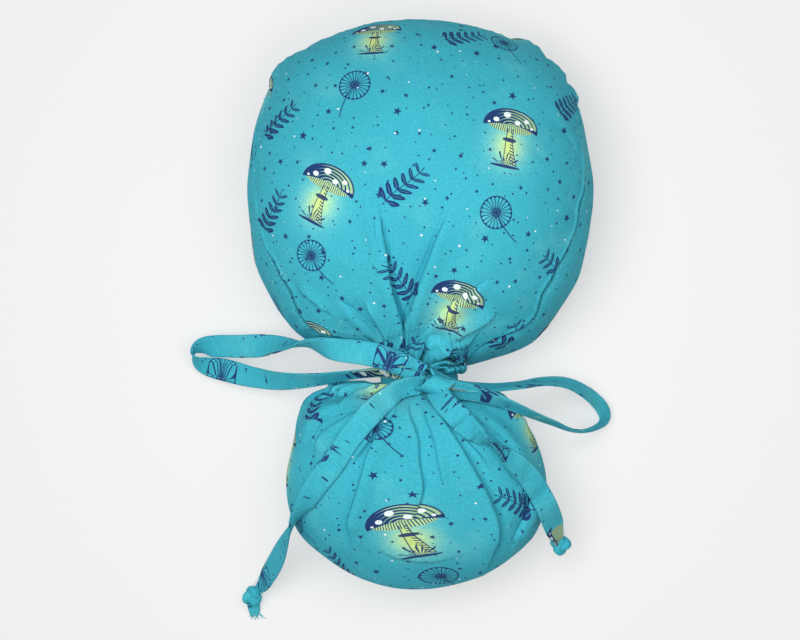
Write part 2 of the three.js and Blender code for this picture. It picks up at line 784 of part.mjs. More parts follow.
const bandShape = { closedRound: true, flatHem: true };
const pouchShape = { closedRound: true, endsInPoint: true };
const bandBody = solid(cloth(bandGrid(), bandThickness, bandShape));
const bandCut = solid(cloth(bandGrid(), bandThickness, { ...bandShape, extra: bandMargin }));
const crownBody = largest(solid(cloth(crownGrid(), clothThickness, { trim: edgeTrim })).subtract(bandCut));
const pouchBody = solid(cloth(pouchGrid(), clothThickness, pouchShape));
const clothFaces = [crownBody, pouchBody, bandBody].flatMap(facesUp);
const clothCut = bandCut
  .add(solid(cloth(crownGrid(), clothThickness, { extra: tieClearance })))
  .add(solid(cloth(pouchGrid(), clothThickness, { ...pouchShape, extra: tieClearance })));

const knotHeight = neckHeight + neckHalfHeight + cinchThickness + knotLift + knotThickness / 2;
const knotBody = largest(bowKnot().subtract(clothCut));
const knotCut = bowKnot(tieClearance);
const loopLeft = largest(strap(leftLoopRoute).subtract(knotCut.add(clothCut)));
const loopRight = largest(strap(rightLoopRoute).subtract(knotCut.add(clothCut)));
const loopsCut = knotCut.add(strap(leftLoopRoute, tieClearance)).add(strap(rightLoopRoute, tieClearance * 1.4));
const tailsCut = loopsCut.add(clothCut);
const tailLeft = largest(strap(leftTailRoute).add(endKnot(leftTailRoute)).subtract(tailsCut));
const tailRight = largest(strap(rightTailRoute).add(endKnot(rightTailRoute)).subtract(tailsCut));

const teal = new THREE.MeshStandardMaterial({ color: 0x40aebf, roughness: 0.9, side: THREE.DoubleSide });
const tealDark = new THREE.MeshStandardMaterial({ color: 0x3797a8, roughness: 0.9 });

const cap = new THREE.Group();
cap.name = "scrub_cap";
const pieces = [
  ["crown", crownBody, teal],
  ["band", bandBody, tealDark],
  ["pouch", pouchBody, teal],
  ["cinch", cinch(), tealDark],
  ["knot", knotBody, tealDark],
  ["loop_left", loopLeft, tealDark],
  ["loop_right", loopRight, tealDark],
  ["tail_left", tailLeft, tealDark],
  ["tail_right", tailRight, tealDark],
];
const extent = new THREE.Box3();
for (const [name, body, material] of pieces) {
  const geometry = geometryOf(body);
  geometry.computeBoundingBox();
  extent.union(geometry.boundingBox);
  const mesh = new THREE.Mesh(geometry, material);
  mesh.name = name;
  cap.add(mesh);
}

// centre the cap over the origin, resting on the table
const middle = extent.getCenter(new THREE.Vector3());
for (const mesh of cap.children) {
  mesh.geometry.translate(-middle.x, -middle.y, -extent.min.z);
}

export default cap;
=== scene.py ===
import math
from functools import partial

import bpy
import numpy as np
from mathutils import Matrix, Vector
from mathutils.bvhtree import BVHTree


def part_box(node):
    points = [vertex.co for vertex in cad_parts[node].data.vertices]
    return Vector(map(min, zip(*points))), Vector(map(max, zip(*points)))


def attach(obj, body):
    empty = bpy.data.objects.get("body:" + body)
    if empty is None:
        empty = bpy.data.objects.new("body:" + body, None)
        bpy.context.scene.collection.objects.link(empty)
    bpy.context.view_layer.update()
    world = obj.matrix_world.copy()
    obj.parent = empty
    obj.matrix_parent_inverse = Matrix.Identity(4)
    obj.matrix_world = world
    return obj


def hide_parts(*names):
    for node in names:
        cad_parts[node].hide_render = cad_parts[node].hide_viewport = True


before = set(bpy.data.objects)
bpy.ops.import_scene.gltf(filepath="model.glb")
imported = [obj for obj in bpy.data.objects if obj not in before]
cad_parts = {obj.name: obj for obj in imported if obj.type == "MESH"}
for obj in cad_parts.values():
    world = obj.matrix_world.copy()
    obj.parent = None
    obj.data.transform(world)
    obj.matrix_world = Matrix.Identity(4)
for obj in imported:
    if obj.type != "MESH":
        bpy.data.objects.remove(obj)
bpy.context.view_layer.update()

mm = 0.001


def rows_of(columns, *rows):
    """A table with named columns. A short row leaves out its last columns."""
    names = columns.split()
    return [dict(zip(names, row)) for row in rows]


def stand(data, place=(0, 0, 0)):
    """A new object in the scene, from its data, at a place."""
    thing = bpy.data.objects.new(data.name, data)
    thing.location = place
    bpy.context.scene.collection.objects.link(thing)
    return thing


# Camera, table and light. The cap is seen from straight above with a long lens, lying on a plain pale
# table under a large soft light, so that only a faint shadow runs round it.
tie_low, tie_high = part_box("cinch")
tie_x = (tie_low.x + tie_high.x) / 2
tie_y = (tie_low.y + tie_high.y) / 2
view_centre = Vector((tie_x - 11.4 * mm, tie_y + 34.8 * mm, 0.0))
view_width = 480 * mm
lens_mm = 120.0
sensor_mm = 36.0
widest_line_height = 30 * mm
camera_height = view_width * lens_mm / sensor_mm + widest_line_height

camera_data = bpy.data.cameras.new("camera")
camera_data.lens = lens_mm
camera_data.sensor_width = sensor_mm
camera_data.clip_end = 20.0
bpy.context.scene.camera = stand(camera_data, view_centre + Vector((0, 0, camera_height)))

world = bpy.data.worlds.new("studio")
bpy.context.scene.world = world
world.use_nodes = True
background = world.node_tree.nodes["Background"]
background.inputs["Color"].default_value = (1.0, 1.0, 1.0, 1.0)
background.inputs["Strength"].default_value = 0.15
bpy.context.scene.view_settings.view_transform = "Standard"

# place: where the light comes from. spread: its width in degrees.
soft_lights = rows_of(
    "name place spread strength",
    ("key", (-0.3, 0.05, 1.0), 44, 1.9),
    ("fill", (0.36, 0.1, 1.0), 62, 0.65),
)
for soft in soft_lights:
    light = bpy.data.lights.new(soft["name"], "SUN")
    light.angle = math.radians(soft["spread"])
    light.energy = soft["strength"]
    lamp = stand(light, view_centre + Vector(soft["place"]))
    lamp.rotation_euler = (-Vector(soft["place"])).to_track_quat("-Z", "Y").to_euler()

# a round lamp close above the nape, so that both ends of the cap fall off a little darker
near_lamp = bpy.data.lights.new("near_lamp", "AREA")
near_lamp.shape = "DISK"
near_lamp.size = 180 * mm
near_lamp.energy = 0.3
stand(near_lamp, (tie_x - 10 * mm, tie_y + 50 * mm, 350 * mm))

table_half = 4.0
table_corners = [(x * table_half, y * table_half, 0) for x, y in ((-1, -1), (1, -1), (1, 1), (-1, 1))]
table_mesh = bpy.data.meshes.new("table_top")
table_mesh.from_pydata(table_corners, [], [(0, 1, 2, 3)])
table = stand(table_mesh)
table_paint = bpy.data.materials.new("pale_table")
table_paint.use_nodes = True
table_shader = table_paint.node_tree.nodes["Principled BSDF"]
table_shader.inputs["Base Color"].default_value = (0.385, 0.379, 0.376, 1)
table_shader.inputs["Emission Color"].default_value = (1.0, 0.998, 0.996, 1)
table_shader.inputs["Emission Strength"].default_value = 0.482
table_shader.inputs["Roughness"].default_value = 0.9
table_mesh.materials.append(table_paint)


# Printed cloth. The whole cap is cut from one fine cotton twill, printed on its outer side with a night
# garden: navy toadstools with glowing stems, seed clocks, leaf sprigs, stars and dots on a teal ground.


def joined(operation, swapped=False):
    """The method behind one of Python's signs, which joins a reading and another term."""
    def method(self, other):
        return reckon(operation, other, self) if swapped else reckon(operation, self, other)
    return method


class Reading:
    """A number inside a material. Python's own signs join readings into Math nodes."""

    __add__ = joined("ADD")
    __radd__ = joined("ADD", swapped=True)
    __sub__ = joined("SUBTRACT")
    __rsub__ = joined("SUBTRACT", swapped=True)
    __mul__ = joined("MULTIPLY")
    __rmul__ = joined("MULTIPLY", swapped=True)
    __truediv__ = joined("DIVIDE")
    __pow__ = joined("POWER")

    def __init__(self, socket):
        self.socket = socket

    def __neg__(self):
        return reckon("MULTIPLY", self, -1.0)

    def __abs__(self):
        return reckon("ABSOLUTE", self)


def reckon(operation, *terms, clamp=False):
    """A Math node over readings and plain numbers."""
    tree = next(term.socket.id_data for term in terms if isinstance(term, Reading))
    node = tree.nodes.new("ShaderNodeMath")
    node.operation = operation
    node.use_clamp = clamp
    for socket, term in zip(node.inputs, terms):
        if isinstance(term, Reading):
            tree.links.new(term.socket, socket)
        else:
            socket.default_value = term
    return Reading(node.outputs[0])


floor = partial(reckon, "FLOOR")
fraction = partial(reckon, "FRACT")
sine = partial(reckon, "SINE")
cosine = partial(reckon, "COSINE")
root = partial(reckon, "SQRT")
greater = partial(reckon, "MAXIMUM")


def inside(depth, edge=0.16):
    """1 where depth, in millimetres, is above nought, with a soft edge."""
    return reckon("MULTIPLY_ADD", depth, 1 / edge, 0.5, clamp=True)


class Finish:
    """A material and the one way that nodes are added to it."""

    def __init__(self, name):
        self.material = bpy.data.materials.new(name)
        self.material.use_nodes = True
        self.tree = self.material.node_tree
        self.shader = self.tree.nodes["Principled BSDF"]

    def add(self, kind, settings=None, sockets=None):
        """A node with its settings, and its sockets filled with numbers or links."""
        node = self.tree.nodes.new(kind)
        for name, value in (settings or {}).items():
            setattr(node, name, value)
        self.fill(node, sockets or {})
        return node

    def fill(self, node, sockets):
        for name, value in sockets.items():
            if isinstance(value, Reading):
                value = value.socket
            if isinstance(value, bpy.types.NodeSocket):
                self.tree.links.new(value, node.inputs[name])
            else:
                node.inputs[name].default_value = value

    def noise(self, place, scale, detail, **more):
        sockets = {"Vector": place, "Scale": scale, "Detail": detail, **more}
        return Reading(self.add("ShaderNodeTexNoise", {}, sockets).outputs[0])

    def blend(self, share, below, above):
        """The colour above laid over the colour below, by a share from 0 to 1."""
        sockets = {0: share, 6: below, 7: above}
        return self.add("ShaderNodeMix", {"data_type": "RGBA"}, sockets).outputs[2]


def tile(finish, u, v, size, drop, seed, slide):
    """Folds the cloth into tiles, in millimetres. Gives the place round a point that slides about the
    middle of each tile, and three numbers from 0 to 1 that differ from tile to tile."""
    width, height = size
    across = floor(u / width)
    x = u - (across + 0.5) * width
    lowered = v - across * (drop * height)
    down = floor(lowered / height)
    y = lowered - (down + 0.5) * height
    place = finish.add("ShaderNodeCombineXYZ", {}, {0: across, 1: down, 2: seed})
    noise = finish.add("ShaderNodeTexWhiteNoise", {"noise_dimensions": "3D"}, {"Vector": place.outputs[0]})
    channels = finish.add("ShaderNodeSeparateColor", {}, {0: noise.outputs["Color"]})
    chance = [Reading(channels.outputs[k]) for k in range(3)]
    return x + (chance[0] - 0.5) * slide[0], y + (chance[1] - 0.5) * slide[1], chance


def turned(x, y, angle):
    return x * cosine(angle) + y * sine(angle), y * cosine(angle) - x * sine(angle)


def oval(x, y, half_wide, half_high):
    """How far out a place is in an oval: 0 in its middle, 1 on its edge."""
    return root((x / half_wide) ** 2 + (y / half_high) ** 2)


toadstool_spots = rows_of(
    "x y size", (-14, 4.5, 2.6), (-5, 10.5, 3.2), (5, 5, 2.6), (13, 8, 2.2), (18.5, 2.6, 1.4), (-20, 1.2, 1.2)
)


def toadstool(x, y):
    """Body, ink, glow and spot masks of one toadstool about 50 mm wide, with its cap over its stem."""
    arch = (x / 25) ** 2 + (y / 17) ** 2
    brim = y - 2.2 + (x / 12) ** 2
    cap = inside((1 - root(arch)) * 18) * inside(brim)
    contour = inside((sine(root(arch) * 44 + x * 0.03) - 0.1 + (x - 6) * 0.05) * 0.4)
    cap_ink = cap * (1 - 0.85 * contour * inside(y - 2) * inside(0.93 - arch))
    spots = 0.0
    for spot in toadstool_spots:
        reach = root((x - spot["x"]) ** 2 + ((y - spot["y"]) * 1.25) ** 2)
        spots = greater(spots, inside(spot["size"] - reach))
    spots = spots * cap
    under = inside((1 - oval(x, y + 0.4, 20.5, 4.6)) * 5) * (1 - inside(brim))
    gill_lines = inside((sine(x * 3.4 + x * y * 0.05) - 0.35) * 0.22)
    lean = x - 0.005 * y * y - 0.05 * y
    girth = 2.9 + 0.0032 * y * y
    stem = inside(girth - abs(lean)) * inside(-1.5 - y) * inside(y + 33)
    stem_edge = stem * (1 - inside(girth - 0.75 - abs(lean)))
    stem_hatch = stem * inside((sine(y * 2.4 + lean * 0.9) - 0.2) * 0.3) * inside(lean - 0.4)
    ring = inside((1 - oval(lean, y + 11.5, 6.2, 1.9)) * 2.5)
    reach = root(x * x + (y + 35) ** 2)
    way = reckon("ARCTAN2", x, y + 35)
    blades = inside((sine(way * 21 + sine(reach * 0.22)) - 0.15) * reach * 0.045)
    tuft = blades * inside(10.5 + 3.5 * sine(way * 9) - reach) * inside(1.2 - abs(way))
    soil = inside((1 - oval(x, y + 34.6, 13.5, 1.3)) * 2)
    body = greater(greater(cap, under), stem)
    ink = greater(greater(cap_ink, under * gill_lines), greater(stem_edge, stem_hatch))
    ink = greater(ink, greater(ring, greater(tuft, soil)))
    glow = reckon("EXPONENT", -((x / 17) ** 2 + ((y + 17) / 19) ** 2)) * (1 - cap)
    return body, ink, glow, spots


def seed_clock(x, y):
    """The ink of a round seed head on a bent stalk, about 30 mm across."""
    reach = root(x * x + y * y)
    way = reckon("ARCTAN2", x, y)
    wheel = abs(sine(way * 11))
    spokes = inside(0.34 - wheel * reach / 11, 0.12) * inside(reach - 2.4) * inside(12.6 - reach)
    tufts = inside(1.25 - wheel * reach / 11 * (14.4 - reach)) * inside(reach - 12.2) * inside(14.2 - reach)
    heart = inside(2.2 - reach)
    stalk = inside(0.5 - abs(x - 0.008 * y * y)) * inside(-2 - y) * inside(y + 31)
    return greater(greater(spokes, tufts), greater(heart, stalk))


def sprig(x, y):
    """The ink of a leafy twig about 46 mm long, with a pale vein in each leaf."""
    bend = x - 2.4 * sine(y * 0.09)
    twig = inside(0.42 - abs(bend)) * inside(22 - abs(y))
    pair = fraction(y / 7.5) * 7.5 - 3.0
    out = abs(bend) - 4.6
    rise = pair - out * 0.55
    taper = 1.25 - 0.02 * y
    leaf = inside((taper - oval(out, rise, 4.4, 1.75)) * 2) * inside(21 - abs(y))
    vein = inside(0.2 - abs(rise)) * inside(3 - abs(out))
    return greater(twig, leaf * (1 - vein * 0.8))


def star(x, y, size):
    """The ink of a five-pointed star. size is from its middle to a point."""
    reach = root(x * x + y * y)
    fifth = 2 * math.pi / 5
    way = abs(fraction(reckon("ARCTAN2", x, y) / fifth + 0.5) - 0.5) * fifth
    waist = 0.42
    edge = Vector((1 - waist * math.cos(fifth / 2), -waist * math.sin(fifth / 2), 0))
    normal = Vector((-edge.y, edge.x, 0)).normalized()
    return inside(size * normal.x - reach * (cosine(way) * normal.x + sine(way) * normal.y), 0.14)


teal = (0.052, 0.44, 0.55, 1)
teal_deep = (0.038, 0.365, 0.465, 1)
aqua_mist = (0.24, 0.72, 0.64, 1)
stem_light = (0.6, 0.76, 0.24, 1)
navy = (0.014, 0.022, 0.13, 1)
dot_white = (0.83, 0.93, 0.93, 1)

# motif_tile and rib_spacing in millimetres. The last number is how far the shade painted into the cloth
# darkens it deep in a seam or an open slot.
motif_scale = 0.68
motif_tile = (90, 106)
rib_spacing = 0.82
painted_ditch_shade_strength = 0.82


def cloth_place(finish):
    """The place on the flat cloth, by the piece's cloth map, in millimetres: u, v, and both as a vector."""
    cloth_map = finish.add("ShaderNodeUVMap", {"uv_map": "cloth"})
    axes = finish.add("ShaderNodeSeparateXYZ", {}, {0: cloth_map.outputs[0]})
    u = Reading(axes.outputs[0]) * (1 / mm)
    v = Reading(axes.outputs[1]) * (1 / mm)
    return u, v, finish.add("ShaderNodeCombineXYZ", {}, {0: u, 1: v}).outputs[0]


def ribs(across):
    """The twill's diagonal ribs, from 0 between them to 1 on them."""
    return sine(across * (2 * math.pi / rib_spacing)) * 0.5 + 0.5


def night_garden(name):
    """The printed side of the twill."""
    finish = Finish(name)
    u, v, flat = cloth_place(finish)

    x, y, chance = tile(finish, u, v, motif_tile, 0.5, 3.0, (22, 14))
    x, y = turned(x, y, (chance[2] - 0.5) * 0.5)
    body, ink, glow, spots = toadstool(x / motif_scale, y / motif_scale + 8)

    x, y, chance = tile(finish, u + 4, v + 53, motif_tile, 0.5, 8.0, (46, 14))
    x, y = turned(x, y, (chance[2] - 0.5) * 1.2)
    plants = seed_clock(x / motif_scale, y / motif_scale - 6)

    x, y, chance = tile(finish, u + 45, v + 26, (90, 53), 0.5, 5.0, (24, 8))
    x, y = turned(x, y, (chance[2] - 0.5) * 2.6)
    plants = greater(plants, sprig(x / motif_scale, y / motif_scale) * inside((chance[1] - 0.3) * 20))

    x, y, chance = tile(finish, u, v, (13, 15), 0.37, 11.0, (8, 9))
    x, y = turned(x, y, chance[2] * 6.28)
    stars = star(x, y, 0.75 + chance[0] * chance[2] * 2.4)

    x, y, chance = tile(finish, u + 3, v + 5, (12, 10.5), 0.43, 17.0, (9, 8))
    specks = inside(0.3 + 0.4 * chance[2] - root(x ** 2 + y ** 2))
    white_specks = specks * inside((chance[1] - 0.86) * 20)

    clear = (1 - body) * (1 - ink)
    small_ink = greater(stars, specks * (1 - white_specks)) * (1 - plants)
    all_ink = greater(ink, clear * greater(plants, small_ink))

    ground = finish.blend(finish.noise(flat, 0.018, 2.0), teal, teal_deep)
    mist_share = reckon("MULTIPLY_ADD", finish.noise(flat, 0.035, 3.0), 3.2, -1.75, clamp=True)
    ground = finish.blend(mist_share * 0.28, ground, aqua_mist)
    lit = finish.blend(reckon("MINIMUM", glow * 1.1, 1.0) * 0.8, ground, aqua_mist)
    lit = finish.blend(glow ** 2.6 * 0.85, lit, stem_light)
    printed = finish.blend(body * (1 - ink) * 0.75, lit, stem_light)
    printed = finish.blend(all_ink * 0.94, printed, navy)
    printed = finish.blend(greater(spots, white_specks * clear) * 0.9, printed, dot_white)

    # diagonal ribs of the twill, the unevenness of its yarns, and painted shade deep in the seams and in the
    # open slots beside the bow
    rib = ribs(u + v)
    yarn = finish.noise(flat, 0.7, 5.0, Roughness=0.75)
    # painted shade: the tone is darkened where the cloth dips into a seam or an open slot
    painted_ditch_shade = Reading(finish.add("ShaderNodeAttribute", {"attribute_name": "painted_ditch_shade"}).outputs["Fac"])
    value = (0.51 + rib * 0.1 + yarn) * (1 - painted_ditch_shade_strength * painted_ditch_shade)
    tone = finish.add("ShaderNodeHueSaturation", {}, {"Value": value, "Color": printed})
    height = rib * 0.35 + yarn * 0.5 + finish.noise(flat, 0.22, 4.0) * 1.6
    bump = finish.add("ShaderNodeBump", {}, {"Strength": 0.7, "Distance": 0.3 * mm, "Height": height})
    finish.fill(finish.shader, {
        "Base Color": tone.outputs[0],
        "Normal": bump.outputs[0],
        "Roughness": 0.86,
        "Specular IOR Level": 0.12,
    })
    return finish.material


def cloth_reverse(name):
    """The unprinted side of the twill, where the ground shows through paler."""
    finish = Finish(name)
    u, v, flat = cloth_place(finish)
    colour = finish.blend(finish.noise(flat, 0.05, 3.0), (0.3, 0.62, 0.66, 1), (0.2, 0.5, 0.56, 1))
    bump = finish.add("ShaderNodeBump", {}, {"Strength": 0.4, "Distance": 0.2 * mm, "Height": ribs(u - v)})
    finish.fill(finish.shader, {
        "Base Color": colour,
        "Normal": bump.outputs[0],
        "Roughness": 0.9,
        "Sheen Weight": 0.15,
    })
    return finish.material


printed_twill = night_garden("printed_twill")
twill_reverse = cloth_reverse("twill_reverse")


# Crown. The large panel over the top and back of the head, one layer of twill, gathered into the nape
# under the tie and into the front corners of the band. It is filled out, so its cloth is round and tight.
crown_half_width = 104 * mm
crown_front_reach = 106 * mm
crown_nape_reach = 103 * mm
crown_rise = 82 * mm
crown_outline_squareness = 2.45
dome_squareness = 2.5
nape_squareness = 1.75
opening_inset = 13 * mm
opening_tuck = 12 * mm
nape_rim_lift = 11 * mm
neck_half_width = 19 * mm
neck_half_height = 12 * mm
neck_height = 38 * mm
neck_half_length = 5 * mm
neck_flare = 45 * mm
nape_spread = 38
casing_slit = 170
neck_disc = 0.97
nape_gathers = 30
nape_gather_height = 3.0
puff_run = 13
puff_run_per_height = 3.4
front_corners = (43, 134)
cloth_thickness = 1.2 * mm
crown_centre_y = neck_half_length + crown_nape_reach
side_reach = 180 - nape_spread
crown_lines = 340
crown_steps = 132

# turn: degrees round from the forehead to the nape. left, right: degrees down from the top of the dome to
# the seam on that side.
seam_line = rows_of(
    "turn left right",
    (0, 97, 97),
    (45, 90, 91),
    (57, 80, 82),
    (67, 75.5, 72.5),
    (78, 73, 67.5),
    (90, 69.5, 63.5),
    (100, 66.5, 61.5),
    (113, 61.5, 57.5),
    (126, 58.5, 55.5),
    (138, 66.5, 64),
    (152, 66, 64),
    (180, 82, 82),
)

# Irregular swells of the cloth, in millimetres.
crown_waves = rows_of("height wavelength seed", (0.6, 70, 4), (0.3, 26, 5), (0.1, 9, 6))

# Pleats that show from above. route: millimetres from the middle of the tie, to the right and to the
# forehead. width, height and gap, that of the valley beside the pleat, in millimetres. valley: its depth, as
# a share of the height. steep: 1 where the pleat drops sharply on its right, -1 on its left. fade: the
# shares of the route over which it rises and runs out.
crown_pleats = rows_of(
    "width height steep route valley gap fade",
    (8, 4.4, -1, [(-18, 112), (-22, 104), (-23, 91), (-20.5, 75), (-18.5, 58), (-14.5, 43),
     (-11.5, 33), (-10, 20)], 0.6, 1.2, (0.55, 0.12)),
    (5, 1.1, -1, [(-29, 110), (-28, 96), (-26, 84), (-25, 70)]),
    (7.5, 4.2, 1, [(21, 109), (15.5, 94), (10.5, 82), (7, 72), (1.5, 58), (-2, 48), (-6, 37),
     (-10, 27)], 0.6, 1.2, (0.5, 0.12)),
    (6, 2.6, 1, [(41, 58), (30, 50), (18, 42), (6, 30)]),
    (5, 2.4, -1, [(46, 40), (34, 32), (20, 24)]),
    (4.5, 2.1, 1, [(-73, 55), (-64, 48), (-54, 40)]),
    (5.5, 2.7, -1, [(-48, 46), (-38, 38), (-26, 27), (-17, 16)]),
    (4, 2.2, 1, [(-32, 46), (-26, 36), (-18, 22)]),
    (4, 2.2, -1, [(36, 30), (28, 22), (18, 19.5), (8, 13)], 0.55, 0.8, (0.4, 0.05)),
    (4, 2.2, -1, [(-36, 27), (-27, 20), (-18, 13), (-12, 8)], 0.55, 0.8, (0.4, 0.05)),
    (6, 1.3, -1, [(-99, 122), (-93, 136), (-82, 152), (-70, 163)], 0.3, 0.8, (0.4, 0.4)),
    (6, 1.1, 1, [(70, 158), (84, 146), (94, 130)], 0.3, 0.8, (0.4, 0.4)),
)

# The arched fold beside the bow.
nape_folds = rows_of(
    "width height steep route valley gap fade",
    (3.5, 2.8, -1, [(-1, 8), (2, 16), (5, 22), (9, 23.5), (13, 22), (20, 15)], 0.55, 0.8, (0.3, 0.2)),
)

# Where the gathered cloth bulges over the neck beside the bow. x, y, size: place and reach. right, front, up:
# how far it bulges, in millimetres.
nape_swells = rows_of(
    "x y size right front up",
    (13, 12, 9, 2, -2, 8),
    (25, 10, 8, 3, -2.5, 1),
    (-22, 10, 8, -2, -2, 3),
)

# Slots where the gathered cloth stands open beside the bow. height: how deep they are, in millimetres.
nape_slots = rows_of(
    "width height steep route valley gap fade",
    (2.6, 5, 1, [(2, 9), (8, 11.5), (13.5, 13.2), (19.5, 13.4)], 0, 0.8, (0.7, 0.08)),
    (0.9, 3.5, 1, [(9, 8.5), (15, 10), (23, 12), (35, 15)], 0, 0.8, (0.2, 0.3)),
    (1.0, 4, -1, [(0, 10.5), (2, 16), (4.2, 20.5)], 0, 0.8, (0.2, 0.3)),
)

# Puffs between the gathers into the band's front corners. start, end: degrees round the outline. height in
# millimetres.
crown_puffs = rows_of(
    "start end height",
    (16, 24, 0.7),
    (24, 29.5, 1.0),
    (29.5, 36.7, 3.2),
    (36.7, 46.8, 4.0),
    (46.8, 59, 5.2),
    (59, 67, 1.8),
    (67, 76, 0.9),
    (103, 111, 0.9),
    (111, 118, 1.6),
    (118, 127, 2.4),
    (127, 144.5, 5.0),
    (144.5, 150.5, 2.0),
    (150.5, 157, 1.4),
    (157, 166, 0.8),
)

# How far the stuffed cloth stands in or out of the even outline, in millimetres. bearing: degrees, where 90
# is the forehead and 0 the right-hand side.
outline_slack = rows_of(
    "bearing out",
    (-120, -1.0),
    (-62, 1.5),
    (-48, -1.2),
    (-30, -2.4),
    (-12, -1.6),
    (6, 0.2),
    (21, -2.0),
    (33, 0),
    (66, -1.8),
    (90, 0.3),
    (120, -1.4),
    (136, 0.8),
    (150, -1.3),
    (186, -1.9),
    (204, -2.8),
    (222, -1.8),
    (240, -1.0),
)


def ease(t):
    """0 up to 0 and 1 from 1 on, with a smooth rise between."""
    s = np.clip(t, 0, 1)
    return s * s * (3 - 2 * s)


def bell(distance, width):
    return np.exp(-((distance / width) ** 2))


def flattened(wave, power):
    """A sine or cosine with its crests broadened, so that a circle becomes a rounded box."""
    return np.sign(wave) * np.abs(wave) ** power


def xyz(x, y, z):
    return np.stack(np.broadcast_arrays(x, y, z), -1)


def unit(vectors):
    return vectors / np.linalg.norm(vectors, axis=-1, keepdims=True)


def distance_along(points):
    """How far along a line each of its points is."""
    return np.concatenate([[0], np.cumsum(np.linalg.norm(np.diff(points, axis=0), axis=-1))])


def curve(rows, key, at, name):
    """A smooth curve through one column of a table, at many places."""
    x = np.array([row[key] for row in rows], float)
    y = np.array([row[name] for row in rows], float)
    k = np.arange(len(x))
    before = np.maximum(k - 1, 0)
    after = np.minimum(k + 1, len(x) - 1)
    slope = (y[after] - y[before]) / (x[after] - x[before])
    at = np.asarray(at, float)
    i = np.clip(np.searchsorted(x, at, side="right") - 1, 0, len(x) - 2)
    span = x[i + 1] - x[i]
    t = np.clip((at - x[i]) / span, 0, 1)
    rise = t * (1 - t) * span * ((1 - t) * slope[i] - t * slope[i + 1])
    return y[i] + t * t * (3 - 2 * t) * (y[i + 1] - y[i]) + rise


def route_line(route, count):
    """Points along a smooth curve through a route."""
    rows = [dict(at=k, x=x, y=y) for k, (x, y) in enumerate(route)]
    at = np.linspace(0, len(rows) - 1, count)
    return curve(rows, "at", at, "x"), curve(rows, "at", at, "y")


def outline_reach(bearing):
    c = np.abs(np.cos(bearing)) / crown_half_width
    s = np.abs(np.sin(bearing)) / np.where(np.sin(bearing) > 0, crown_front_reach, crown_nape_reach)
    even = (c**crown_outline_squareness + s**crown_outline_squareness) ** (-1 / crown_outline_squareness)
    degrees = (np.degrees(bearing) + 120) % 360 - 120
    return even + curve(outline_slack, "bearing", degrees, "out") * mm


def turn_from_front(bearing):
    return np.abs(np.degrees(np.arctan2(np.cos(bearing), np.sin(bearing))))


def wall_point(bearing, drop):
    """A point of the cap's smooth wall: drop 0 is the top of the dome, 90 its widest line, 180 the hem."""
    reach = outline_reach(bearing)
    turn = turn_from_front(bearing)
    squareness = dome_squareness + (nape_squareness - dome_squareness) * ease((turn - 100) / 80)
    power = 2 / squareness
    upper = np.minimum(drop, 90)
    share = np.sin(np.radians(upper)) ** power
    height = widest_line_height + crown_rise * np.maximum(np.cos(np.radians(upper)), 0) ** power
    down = np.clip((drop - 90) / 90, 0, 1)
    inset = opening_inset + opening_tuck * ease(1 - turn / 80)
    lift = nape_rim_lift * ease((turn - 110) / 60)
    share = np.where(drop > 90, 1 - inset / reach * down**1.8, share)
    height = np.where(drop > 90, widest_line_height + (lift - widest_line_height) * down, height)
    return xyz(np.cos(bearing) * reach * share, crown_centre_y + np.sin(bearing) * reach * share, height)


def seam_drop(bearing):
    turn = turn_from_front(bearing)
    right = curve(seam_line, "turn", turn, "right")
    drop = np.where(np.cos(bearing) > 0, right, curve(seam_line, "turn", turn, "left"))
    waver = 0.6 * np.sin(19 * bearing) + 0.45 * np.sin(31 * bearing + 1)
    return drop + waver * ease((150 - turn) / 20)


def dome_point(disc_x, disc_y):
    bearing = np.arctan2(disc_y, disc_x)
    return wall_point(bearing, np.minimum(np.hypot(disc_x, disc_y), 1) * seam_drop(bearing))


def neck_point(angle, y):
    return xyz(neck_half_width * np.sin(angle), y, neck_height + neck_half_height * np.cos(angle))


def crown_smooth(bearing_deg, share):
    """The crown before its pleats, on the line from the neck to a bearing of the seam."""
    bearing = np.radians(bearing_deg)
    disc_x = np.cos(bearing) * share
    disc_y = -neck_disc + (np.sin(bearing) + neck_disc) * share
    around = np.radians(casing_slit) * (90 - bearing_deg) / side_reach
    start = neck_point(around, neck_half_length) - dome_point(np.zeros(1), np.full(1, -neck_disc))
    away = np.hypot(disc_x, disc_y + neck_disc) * crown_nape_reach
    return dome_point(disc_x, disc_y) + start * (1 - ease(away / neck_flare))[..., None], disc_x, disc_y


